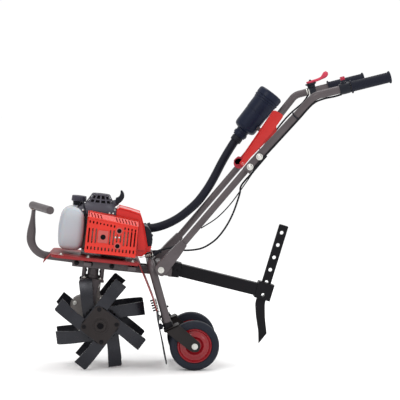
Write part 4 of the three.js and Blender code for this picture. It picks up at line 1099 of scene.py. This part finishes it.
def starter_lugs():
    """Screwed lugs round the starter and the guide of the rope."""
    lugs = bmesh.new()
    places = []
    for x, y in ((-84, -50), (9, -50), (-84, 50), (9, 50)):
        lathe(lugs, [(0, 352), (8.5, 352), (8.5, 371), (7, 373), (0, 373)], (x, y, 0), count=20)
        places.append(((x, y, 373), (0, 0, 1)))
    for x, z in ((-95, 364), (-8, 362), (4, 362)):
        lathe(lugs, [(0, 0), (6, 0), (6, 3.5), (5, 4.4), (0, 4.4)], (x, -58, z), (0, -1, 0), 18)
        places.append(((x, -62.2, z), (0, -1, 0)))
    build("starter_lugs", lugs, STARTER_GREY, bevel=0.6)
    bolts("starter_screws", places, size=3.1, washer=False, dome=True)
    guide = [(3.4, -4), (12, -4), (10.5, 8), (9, 14), (5.5, 16.5), (3.4, 16.5)]
    turned("starter_rope_guide", guide, STARTER_GREY, (COLUMN_X + 44, 0, 390.8), (0.909, 0, 0.417), 24,
           closed=True, bevel=0.5)


def starter_pull():
    """Hooked grip, and the cord from the guide toward it."""
    horn = bmesh.new()
    loop = rounded([(8, 392, 4), (18, 391, 8), (30, 402, 10), (36, 416, 9), (34, 428, 8), (26, 438, 4),
                    (21, 436, 4), (22, 425, 6), (18, 415, 7), (8, 411, 4)], 5)
    prism(horn, loop, XZ, -11, 11)
    build("starter_grip", horn, BLACK_PLASTIC, body="starter_handle", bevel=3.2,
          replaces=("starter_handle",))
    start, end = Vector((COLUMN_X + 54, 0, 395.3)), Vector((COLUMN_X + 68, 0, 401.7))
    route = [start.lerp(end, k / 6) for k in range(7)]
    piece = swept("starter_cord", route, 1.8, ROPE_FIBRE, body=None, bevel=0, replaces=("starter_rope",))
    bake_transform(piece)


NECK = (-112, 40)
TANK_FRONT, TANK_REAR = -168.5, -96.5
TANK_LEVELS = (
    (229, 22, 22, 16), (231, 14, 14, 9), (236, 8, 8, 4), (246, 4, 3, 1), (270, 1, 0, 0),
    (300, 0, 0, 0), (325, 2, 1, 1), (342, 5, 3, 3), (354, 10, 6, 7), (362, 17, 11, 13),
    (367, 26, 19, 20), (370, 38, 32, 30))


def fuel_tank():
    """Translucent tank drawn in at the top, its grommets and seam."""
    bm = bmesh.new()
    rings = []
    for z, front, rear, side in TANK_LEVELS:
        loop = superellipse(TANK_FRONT + front, TANK_REAR - rear, -78 + side, 72 - side, z, 5.2)
        rings.append([(x + 0.2 * smoothstep(-y, 30, 56) * (x - TANK_FRONT), y, z) for x, y, z in loop])
    bridge(bm, rings)
    lathe(bm, [(17, 362), (17, 371), (15, 372), (15, 383), (0, 383)], (*NECK, 0), count=28)
    build("fuel_tank_shell", bm, TANK, bevel=0.8, replaces=("fuel_tank",))
    bm = bmesh.new()
    lathe(bm, [(15.2, 371.5), (19, 371.5), (19.5, 374), (17.5, 376), (19.5, 378.5), (19, 383),
               (15.2, 383.4)], (*NECK, 0), count=32, closed=True)
    lathe(bm, [(0, 364), (7, 364), (7, 373), (4.2, 374.5), (4.2, 380), (0, 380)], (-106, -18, 0), count=18)
    build("tank_grommets", bm, RUBBER, bevel=0.4)
    seam = [(TANK_FRONT + front - 0.3, -3, z) for z, front, _, _ in TANK_LEVELS]
    swept("tank_seam", seam, 1.0, TANK, 8, bevel=0)


def fuel_cap():
    """Fluted cap over the filler neck, and the line to the carburettor."""
    cap = bmesh.new()
    profile = [(0, 384), (22.4, 384), (23.8, 385), (24.2, 386), (24.2, 400.4), (23.6, 402), (22, 402.9),
               (10, 403), (9, 402.2), (0, 402.2)]
    rings = []
    for radius, z in profile:
        flutes = 0.035 if 20 < radius and z < 400 else 0.0
        rings.append([(NECK[0] + max(radius, 0.02) * (1 + flutes * math.sin(16 * a)) * math.cos(a),
                       NECK[1] + max(radius, 0.02) * (1 + flutes * math.sin(16 * a)) * math.sin(a), z)
                      for a in (2 * math.pi * k / 96 for k in range(96))])
    bridge(cap, rings)
    build("fuel_cap_knob", cap, GREY_PLASTIC, body="fuel_cap", bevel=0, replaces=("fuel_cap",))
    line = smooth_route([(-106, -18, 378), (-104, -22, 386), (-98, -40, 388), (-92, -56, 376),
                         (-86, -60, 352), (-84, -58, 320), (-84, -54, 280)], 5)
    swept("fuel_line", line, 2.6, RUBBER, 10, bevel=0)


def engine_block():
    """The CAD castings of the engine and their bolts."""
    dress("clutch_housing", BRIGHT_ALLOY, 1.0)
    dress("crankcase", CAST_ALLOY, 2.0)
    dress("cylinder", BRIGHT_ALLOY, 0.5)
    dress("carburettor", BRIGHT_ALLOY, 1.2)
    dress("crankshaft", DULL_STEEL, 0)
    foot = [((x, y, 228), (0, 0, 1)) for x in (-12, 50) for y in (-40, 40)]
    bolts("crankcase_bolts", foot, size=5)
    bolts("carburettor_bolts", [((x, 92, z), (0, 1, 0)) for x in (50, 72) for z in (276, 312)], size=3.4)


def intake():
    """Rubber elbow with its hose clamp, and the ignition coil."""
    bm = bmesh.new()
    route = bent_route([(61, 99.2, 294), (61, 142, 296), (104, 100, 308), (123, 96.5, 312)], 20, 8)
    sweep(bm, route, 17, 28)
    for point, direction in ((route[0], Vector((0, 1, 0.04))), (route[-1], Vector((-0.96, 0.18, -0.2)))):
        lathe(bm, [(16.5, 0), (19, 0), (19, 9), (16.5, 9.6)], point, direction, 28, closed=True)
    build("intake_elbow_tube", bm, RUBBER, bevel=0.5, replaces=("intake_elbow",))
    bm = bmesh.new()
    end = Vector((125, 95.6, 312.7))
    collar(bm, 14.6, 17.4, 4, 14, end, (0.9, 0.02, 0.35), 28)
    build("hose_clamp", bm, BLACK_PLASTIC, bevel=0.4)
    bm = bmesh.new()
    block(bm, -6, 34, 44, 70, 236, 262)
    lathe(bm, [(0, 0), (7, 0), (7, 3), (5, 4), (0, 4)], (14, 57, 262), (0, 0, 1), 20)
    build("ignition_coil", bm, BLACK_PLASTIC, bevel=1.4)


# ------------------------------------------------------------------ transport wheels
FORK_HALF = 29.0
FORK_PLATE = 4.0
CROWN_LEAN = math.radians(-24)


def tyre_profile():
    """Cross-section of the tyre: flat tread, round shoulders, both sides alike."""
    half, shoulder = 22.0, 12.0
    arc = []
    for k in range(9):
        a = math.pi / 2 * k / 8
        arc.append((WHEEL_R - shoulder + shoulder * math.cos(a) * 0.98,
                    half - shoulder + shoulder * math.sin(a)))
    upper = [(WHEEL_R, 0), (WHEEL_R, 5), *arc, (66, half), (64.5, half - 0.9), (62, half - 0.4),
             (58.5, half - 2), (56.3, half - 6)]
    lower = [(r, -h) for r, h in upper[::-1]]
    return lower[:-1] + upper


def wheels():
    """Solid tyres on dished rims."""
    rim_half = [(56.2, 15.6), (54.6, 17.0), (52.4, 16.2), (50.2, 11.5), (47.5, 8.6), (43.5, 8.2), (39, 10.4),
                (34.5, 12.6), (30, 12.4), (25.5, 8.6), (22, 6.8), (18, 7.4), (15.6, 10.5), (15, 19),
                (13.4, 20), (6, 20)]
    for name, side in SIDES:
        centre = (WHEEL_X, side * LEG_Y, WHEEL_R)
        finish = {"closed": True, "matrix": MACHINE, "body": f"wheel_{name}", "bevel": 0}
        turned(f"tyre_{name}_tread", tyre_profile(), TYRE_RUBBER, centre, (0, 1, 0), 72,
               replaces=(f"tyre_{name}",), **finish)
        profile = rim_half + [(r, -h) for r, h in rim_half[::-1]]
        turned(f"rim_{name}_disc", profile, RIM_PAINT, centre, (0, 1, 0), 72,
               replaces=(f"wheel_rim_{name}",), **finish)


def fork_frame(name, y, foot, reach, tilt):
    """One fork: its tube up into the leg, sloping crown with a collar, and two cheeks."""
    bm = bmesh.new()
    disc(bm, 9.5, 0, reach.length, foot, reach, 24)
    crown = rounded([(-16, -5.5, 3), (-16, 0.5, 3), (34, 0.5, 2.5), (34, -4.5, 2)], 4)
    bridge(bm, [[tilt @ Vector((u, v, w)) for u, w in crown] for v in (-FORK_HALF, FORK_HALF)])
    sweep(bm, [tilt @ Vector((-14, v, -2)) for v in (-FORK_HALF + 1, 0, FORK_HALF - 1)], 4.6, 16)
    lathe(bm, [(9.8, 0.5), (15, 0.5), (14, 4), (10.5, 7), (9.8, 7)], tilt.translation, reach, 28,
          closed=True)
    x, z = foot.x, foot.z
    cheek = rounded([(x - 15, z - 7, 3), (x + 32, z + 13, 3), (WHEEL_X + 21, WHEEL_R + 8, 18),
                     (WHEEL_X + 13, WHEEL_R - 19, 18), (WHEEL_X - 12, WHEEL_R - 17, 14)], 7)
    for s in (-1, 1):
        prism(bm, cheek, XZ, y + s * (FORK_HALF - FORK_PLATE), y + s * FORK_HALF)
    build(f"fork_{name}_frame", bm, FORK_PAINT, MACHINE, f"fork_{name}", bevel=0.9,
          replaces=(f"wheel_fork_{name}",))


def forks():
    """Both forks at the foot of their legs, with axle nuts and crown bolts."""
    to_machine = MACHINE.inverted() @ CHASSIS
    for name, side in SIDES:
        y = side * LEG_Y
        foot = to_machine @ leg_point(LEG_LENGTH + 3, y)
        reach = to_machine @ leg_point(120, y) - foot
        tilt = Matrix.Translation((foot.x, y, foot.z)) @ Matrix.Rotation(CROWN_LEAN, 4, "Y")
        fork_frame(name, y, foot, reach, tilt)
        nuts = [((WHEEL_X, y + s * FORK_HALF, WHEEL_R), (0, s, 0)) for s in (-1, 1)]
        crown = [(tilt @ Vector((-9, s * 22, 0.6)), tilt.to_3x3() @ Vector((0, 0, 1))) for s in (-1, 1)]
        bolts(f"fork_{name}_axle_nuts", nuts, BOLT_STEEL, MACHINE, f"fork_{name}", size=6.8)
        bolts(f"fork_{name}_crown_bolts", crown, BLACK_PAINT, MACHINE, f"fork_{name}", size=3.6)


# ------------------------------------------------------------------ drag arm and depth bar
ARM_RISE = 12.0
ARM_HALF_HEIGHT = 21.0
SLEEVE_HALF = 28.5


def drag_arm():
    """Rectangular tube from the receiver to a boxed socket, whose side holes line up with one hole of the
    bar.
    """
    tongue_at = Vector(from_chassis(*RECEIVER))
    start = tongue_at + Vector((0, 0, ARM_RISE))
    run = Vector((SOCKET[0], 0, SOCKET[1])) - start
    arm = tilted(start, math.atan2(run.z, run.x))
    bm = bmesh.new()
    prism(bm, rounded_box(-19, 19, -ARM_HALF_HEIGHT, ARM_HALF_HEIGHT, 4), YZ, 36, run.length - 22)
    build("drag_arm_tube", bm, BLACK_PAINT, arm, bevel=0.5, replaces=("drag_arm",))
    bm = bmesh.new()
    prism(bm, rounded_box(-SLEEVE_HALF, SLEEVE_HALF, -24, 24, 4), YZ, 4, 34)
    build("receiver_sleeve", bm, BLACK_PAINT, arm, bevel=0.8)
    sleeve_bolts = [((x, side * SLEEVE_HALF, 0), (0, side, 0)) for side in (LEFT, RIGHT) for x in (12, 26)]
    bolts("receiver_bolts", sleeve_bolts, BLACK_PAINT, arm, size=3.4)
    bm = bmesh.new()
    block(bm, 0, 44, -19.8, 19.8, -11.6, 11.6)
    build("drag_arm_tongue", bm, BLACK_PAINT, tilted(tongue_at, -PITCH), bevel=1.0)
    bm = bmesh.new()
    for side in (LEFT, RIGHT):
        loop = rounded_box(-27, 27, -28, 28, 3, 3)
        sheet_plate(bm, loop, [ring(6.4, 0, -13, 28)], XZ, side * 5.4, side * 22)
    for x in (-27, 16.4):
        block(bm, x, x + 10.6, -5.5, 5.5, -27.6, 27.6)
    build("drag_arm_socket", bm, BLACK_PAINT, BAR, bevel=0.9)


def depth_bar():
    """Flat bar with six holes and a bent, pointed foot, and the rims of its socket."""
    bm = bmesh.new()
    half, thick, pitch = 15.5, 4.5, 43
    loop = rounded([(-half, 228, 4), (half, 228, 4), (half, -40, 10), (31, -88, 12), (51, -134, 2),
                    (35, -174, 2), (23, -137, 10), (-1.5, -86, 12), (-half, -48, 10)], 5)
    sheet_plate(bm, loop, [ring(6.2, 0, 202 - i * pitch, 28) for i in range(6)], XZ, -thick, thick)
    build("depth_bar_blade", bm, BLACK_PAINT, BAR, "depth_bar", bevel=1.0, replaces=("depth_bar",))
    bm = bmesh.new()
    for z in (-27.6, 25.4):
        mouth = [(-16.2, -5.2), (16.2, -5.2), (16.2, 5.2), (-16.2, 5.2)]
        sheet_plate(bm, rounded_box(-27.6, 27.6, -22.6, 22.6, 3), [mouth], XY, z, z + 2.4)
    build("socket_rims", bm, BLACK_PAINT, BAR, bevel=0.6)


# ------------------------------------------------------------------ handlebars
LEVER_FOOT = 436.0
LOWER_END = 494.0


def lower_handles():
    """Lower tubes with their pivot channels, and the pin of the clutch lever."""
    for name, side in SIDES:
        y = side * LOWER_Y
        bm = bmesh.new()
        sweep(bm, [(d, y, 0) for d in (20, 180, 340, LOWER_END)], LOWER_R, 32)
        hollow_end(bm, (LOWER_END, y, 0), (1, 0, 0), LOWER_R, 1.8)
        build(f"lower_tube_{name}", bm, FRAME_PAINT, HANDLE, "handlebar", bevel=0.4,
              replaces=(f"handle_lower_{name}",))
        bm = bmesh.new()
        loop = rounded([(-18, -8, 12), (-13, 18, 12), (14, 20, 8), (70, 17.5, 6), (114, 12.5, 3),
                        (114, -12.5, 3), (70, -17.5, 6), (12, -20, 8), (-12, -18, 12)], 6)
        for s in (-1, 1):
            prism(bm, loop, XZ, y + s * 13.2, y + s * 16.2)
        spine = [(-6, 18.6), (14, 19.6), (70, 17.2), (112, 13.6), (112, 11.2), (70, 14.4), (14, 16.8),
                 (-6, 15.8)]
        prism(bm, spine, XZ, y - 14, y + 14)
        build(f"pivot_channel_{name}", bm, FRAME_PAINT, HANDLE, "handlebar", bevel=0.9)
    pin = bmesh.new()
    disc(pin, 4, 0, 40, (LEVER_FOOT, 86, 0), (0, 1, 0), 20)
    build("lever_pivot_pin", pin, BOLT_STEEL, HANDLE, "handlebar", bevel=0.4)


def upper_handles():
    """Upper tubes, pressed flat at the joint and bent back to the grips."""
    joints = []
    for name, side in SIDES:
        y = side * UPPER_Y
        corners = [on_handle(UPPER_START, y), on_handle(UPPER_BEND, y),
                   (BEND[0], side * GRIP_Y, BEND[1]), on_grip(TUBE_END, side)]
        bm = bmesh.new()
        route = bent_route(corners, 45, 12)
        flat_until = (Vector(corners[1]) - Vector(corners[0])).length

        def pressed(point, origin=Vector(corners[0]), limit=flat_until + 26):
            press = 1 - smoothstep((point - origin).length, limit - 24, limit + 30)
            return 1 + 0.16 * press, 1 - 0.34 * press

        sweep(bm, route, HANDLE_R, 32, pressed)
        build(f"upper_tube_{name}", bm, FRAME_PAINT, MACHINE, "handlebar", bevel=0.4,
              replaces=(f"handle_upper_{name}",))
        for d, out in ((438, 8.6), (482, 27)):
            joints.append((on_handle(d, side * (UPPER_Y + out)), (0, side, 0)))
            joints.append((on_handle(d, side * (LOWER_Y - LOWER_R - 0.3)), (0, -side, 0)))
    bolts("handle_joint_bolts", joints, BOLT_STEEL, MACHINE, "handlebar", size=7.2, dome=True)


def grips():
    """Flanged grips with ribs round them."""
    start, length = GRIP_START, GRIP_LENGTH
    direction = (math.cos(GRIP_SLOPE), 0, math.sin(GRIP_SLOPE))
    for name, side in SIDES:
        profile = [(13.4, 0), (20.4, 0), (21.4, 1.4), (21.4, 3.4), (19.6, 4.6), (16.8, 6)]
        ribs = 22
        for k in range(ribs):
            at = 8 + k * 5.1
            profile += [(16.8, at), (16.8, at + 2.9), (16.2, at + 3.5), (16.2, at + 4.6)]
        profile += [(17, length - 7), (19.4, length - 5), (20, length - 3.4), (19.6, length - 1),
                    (17, length), (6, length + 0.2), (5, length - 1.2), (0, length - 1.2)]
        bm = bmesh.new()
        lathe(bm, profile, on_grip(start, side), direction, 44)
        build(f"grip_{name}_sleeve", bm, GRIP_RUBBER, MACHINE, "handlebar", bevel=0,
              replaces=(f"handle_grip_{name}",))


def switch():
    """Collar and button on the left grip."""
    dress("stop_button", BUTTON_RED, 1.6)
    left = tilted(on_grip(98, LEFT), GRIP_SLOPE)
    bm = bmesh.new()
    lathe(bm, [(12.7, -17), (15.5, -17), (17.6, -14), (18, 0), (17.6, 14), (16, 18), (12.7, 18)],
          (0, 0, 0), (1, 0, 0), 36, closed=True)
    lathe(bm, [(9.5, 12), (10.5, 12), (10, 20.5), (8, 21.4), (7.4, 21.4), (7.4, 12)], (0, 0, 0), (0, 0, 1),
          28, closed=True)
    build("switch_collar", bm, BLACK_PLASTIC, left, "handlebar", bevel=0.8, replaces=("switch_housing",))


def throttle():
    """Mount, bands and paddle lever on the right grip."""
    right = tilted(on_grip(62, RIGHT), GRIP_SLOPE)
    bm = bmesh.new()
    lathe(bm, [(12.7, -11), (16, -11), (16.8, -8), (16.8, 8), (16, 11), (12.7, 11)],
          (0, 0, 0), (1, 0, 0), 32, closed=True)
    lathe(bm, [(0, 12), (13, 12), (14, 20), (19, 23), (19.6, 25), (18.6, 27.2), (0, 27.2)], count=36)
    build("throttle_mount", bm, BLACK_PLASTIC, right, "handlebar", bevel=0.6, replaces=("throttle_base",))
    bands = bmesh.new()
    for at in (-22, -15):
        collar(bands, 12.6, 14.2, at, at + 4, direction=(1, 0, 0))
    build("throttle_bands", bands, BOLT_STEEL, right, "handlebar", bevel=0.4)
    lever = bmesh.new()
    lathe(lever, [(0, 27.8), (13.6, 27.8), (14, 29), (14, 33.5), (12.5, 35), (0, 35)], count=36)
    stem = smooth_route([(4, 0, 31.5), (24, 0, 32.5), (42, 0, 36), (55, 0, 43), (64, 0, 52)], 2.5)

    def paddle(point):
        swell = smoothstep(point.x, 38, 56)
        tip = 1 - 0.45 * smoothstep(point.z, 47, 52)
        return (1.0 + 0.9 * swell) * tip, (1.1 + 1.2 * swell) * tip

    sweep(lever, stem, 5, 24, paddle)
    build("throttle_paddle", lever, THROTTLE_RED, right, "throttle_lever", bevel=0.6,
          replaces=("throttle_lever",))
    bolts("throttle_hub_bolt", [((0, 0, 35), (0, 0, 1))], BLACK_PAINT, right, "throttle_lever", size=4.0)


def handle_leads():
    """The switch lead under the left tube, its wire and their ties."""
    low, high = Vector(on_handle(UPPER_BEND, -UPPER_Y)), Vector((BEND[0], -GRIP_Y, BEND[1]))
    under = Vector((5, -5, -13))
    route = [on_grip(84, LEFT, -16), on_grip(60, LEFT, -17), on_grip(24, LEFT, -16)]
    route += [high.lerp(low, t) + under for t in (0.06, 0.3, 0.55, 0.8, 0.97)]
    route += [on_handle(430, -UPPER_Y - 4, -19)]
    swept("switch_lead", smooth_route(route, 8), 3, CABLE_SKIN, matrix=MACHINE, body="handlebar", bevel=0)
    run = [on_handle(430, -UPPER_Y - 4, -19), on_handle(380, -160, -25), on_handle(310, -158, -31),
           on_handle(245, -156, -27), on_handle(186, -153, -10)]
    swept("switch_wire", smooth_route(run, 10), 1.9, CABLE_SKIN, 8,
          matrix=MACHINE, body="handlebar", bevel=0)
    ties = bmesh.new()
    for at, along in ((on_handle(500, -UPPER_Y, 0), (math.cos(HANDLE_SLOPE), 0, math.sin(HANDLE_SLOPE))),
                      (high.lerp(low, 0.3), high - low)):
        collar(ties, 13, 15.2, 0, 4, at, along, 28)
    build("cable_ties", ties, BLACK_PLASTIC, MACHINE, "handlebar", bevel=0.4)


FILTER_FOOT = (475, 225, 751.7)
FILTER_AXIS = (0.608, 0, 0.794)


def air_filter():
    """Filter can, lid and CAD element on the handlebar, with their arm and hose clamp."""
    can = [(0, 0), (17, 0), (21, 0.6), (22, 2), (22, 6), (24.4, 7), (24.4, 17), (22, 18), (21.6, 25),
           (23, 27), (30, 29.5), (36, 33), (39, 38), (40, 44), (40, 104), (41, 105), (41, 146),
           (42.4, 147.5), (42.4, 154), (0, 154)]
    lid = [(0, 154.4), (43, 154.4), (44.4, 156), (44.4, 161), (42.6, 162), (42.6, 164), (44.4, 165),
           (44.4, 181), (43, 185), (39, 188.5), (30, 190), (28, 189), (0, 189.4)]
    for name, profile, bevel, node in (("filter_can", can, 0.4, "air_filter_housing"),
                                       ("filter_lid", lid, 0.3, "air_filter_lid")):
        turned(name, profile, FILTER_BLACK, FILTER_FOOT, FILTER_AXIS, 64,
               matrix=MACHINE, body="handlebar", bevel=bevel, replaces=(node,))
    dress("air_filter_element", FILTER_FOAM, 0)
    swept("filter_arm", [(535, 207.5, 784), (544.5, 200.4, 777.2), (556, 184, 770)], 7, FRAME_PAINT, 20,
          matrix=MACHINE, body="handlebar", bevel=0.4)
    band = [(14.7, -16), (18.6, -16), (19.4, -12), (19.4, 1), (17, 3.4), (14.7, 3.4)]
    turned("filter_hose_clamp", band, BLACK_PLASTIC, (473, 224.8, 748.8), (0.6, 0.1, 0.79), 32, closed=True,
           matrix=MACHINE, body="handlebar", bevel=0.4)


def clutch_lever():
    """Pressed channel lever: two flanges under a spine, a lug between them and a pivot nut."""
    near_y, width, foot, sheet = 91.0, 26.0, LEVER_FOOT, 2.6
    near = [(-8, -8, 8), (-8, 10, 8), (100, 20, 1), (206, 38, 8), (214, 0, 12), (150, -6, 6), (24, -6, 6)]
    far = [(-8, -10, 8), (-10, 14, 8), (100, 26, 1), (206, 38, 8), (200, 24, 8), (156, -20, 12),
           (134, -16, 12), (24, -8, 6)]
    local = Matrix.Translation((foot, 0, 0))
    bm = bmesh.new()
    hole = ring(4.3, 0, 0, 20)
    sheet_plate(bm, rounded(near, 6), [hole], XZ, near_y, near_y + sheet)
    sheet_plate(bm, rounded(far, 6), [hole], XZ, near_y + width - sheet, near_y + width)
    spine = [(-6, 7.4), (-6, 10), (100, 19.6), (203, 37.4), (203, 34.6), (100, 17)]
    prism(bm, spine, XZ, near_y + 0.4, near_y + width - 0.4)
    build("lever_channel", bm, LEVER_RED, HANDLE @ local, "clutch_lever", bevel=0.9,
          replaces=("clutch_lever",))
    # The lug is painted in a darker copy of the lever red, as painted shade.
    lug = bmesh.new()
    lathe(lug, [(0, 0), (17, 0), (18, 1), (18, 4), (0, 4)], (-7, near_y + 12, 10), (0, 1, 0), 32)
    prism(lug, rounded([(-18, 14, 4), (-12, 30, 4), (10, 28, 6), (16, 8, 4), (0, 0)]), XZ,
          near_y + 12, near_y + 16)
    build("lever_lug", lug, LEVER_RED_PAINTED_SHADE, HANDLE @ local, "clutch_lever", bevel=0.8)
    bolts("lever_pivot_nut", [((foot, 90.4, 0), (0, -1, 0))], LEVER_RED, HANDLE, "handlebar", size=5.4,
          dome=True)


def cable_ends():
    """Adjusters and boots where the cables meet the plate behind the engine."""
    black, bright = bmesh.new(), bmesh.new()
    for y, z, run in ((-48, 372, Vector((0.82, -0.14, 0.5))), (38, 372, Vector((0.98, -0.1, 0.1)))):
        at = Vector((171.6, y, z))
        boot = [(3.1, 0), (7.0, 0), (7.2, 10), (5.6, 24), (4.0, 33), (3.1, 33)]
        lathe(black, boot, at, run, 18, closed=True)
        back = Vector((-0.98, 0, -0.2))
        profile = [(0, -2), (8.4, -2), (8.4, 4)]
        for k in range(7):
            profile += [(5.2, 4.4 + 3 * k), (6.4, 5.9 + 3 * k)]
        lathe(bright, [*profile, (3.4, 25), (1.2, 25.4), (1.2, 44), (0, 44)], at, back, 14)
    build("cable_boots", black, BLACK_PLASTIC, MACHINE, bevel=0.3)
    build("cable_adjusters", bright, BOLT_STEEL, MACHINE, bevel=0)


# ------------------------------------------------------------------ stage
def stage():
    """Pale floor and white surroundings."""
    floor_size = 90.0
    mesh = bpy.data.meshes.new("floor")
    h = floor_size / 2
    mesh.from_pydata([(-h, -h, 0), (h, -h, 0), (h, h, 0), (-h, h, 0)], [], [(0, 1, 2, 3)])
    floor = bpy.data.objects.new("floor", mesh)
    floor.location = (0, 2.0, -0.0005)
    bpy.context.scene.collection.objects.link(floor)
    m = Nodes("floor_pale")
    tone = m.ramp(m.noise(1.2, 2), (0.3, (0.985, 0.985, 0.985)), (0.7, (1.0, 1.0, 1.0)))
    m.link(tone, m.shader.inputs["Base Color"])
    m.set(Roughness=1.0, Specular_IOR_Level=0.1)
    mesh.materials.append(m.material)
    world = bpy.data.worlds.new("studio")
    bpy.context.scene.world = world
    world.use_nodes = True
    background = world.node_tree.nodes["Background"]
    background.inputs["Color"].default_value = (1, 1, 1, 1)
    background.inputs["Strength"].default_value = 1.02
    bpy.context.scene.view_settings.view_transform = "Standard"


def lamps():
    """Four soft lamps aimed at the middle of the machine."""
    aim = Vector((0, 0, 0.4))
    places = (
        ("key", (-1.2, -2.6, 3.0), 1.4, 30, (1, 0.99, 0.97)),
        ("fill", (2.2, -2.4, 1.6), 1.2, 10, (0.97, 0.98, 1)),
        ("top", (0.3, 0.6, 3.4), 1.6, 26, (1, 1, 1)),
        ("rim", (1.4, 2.8, 2.2), 1.4, 12, (1, 1, 1)),
    )
    for name, place, size, power, color in places:
        light = bpy.data.lights.new(name, "AREA")
        light.size = size
        light.energy = power
        light.color = color
        lamp = bpy.data.objects.new(name, light)
        bpy.context.scene.collection.objects.link(lamp)
        lamp.location = place
        lamp.rotation_euler = (aim - Vector(place)).to_track_quat("-Z", "Y").to_euler()


cords()
main_frame()
front_handle()
deck_guard()
rubber_flap()
wheel_legs()
leg_fittings()
drive_column()
column_straps()
gearbox()
tines()
guard()
guard_trim()
cylinder_cover()
plug_cap()
muffler()
starter()
starter_grille()
starter_lugs()
starter_pull()
fuel_tank()
fuel_cap()
engine_block()
intake()
wheels()
forks()
drag_arm()
depth_bar()
lower_handles()
upper_handles()
grips()
switch()
throttle()
handle_leads()
air_filter()
clutch_lever()
cable_ends()
stage()
lamps()
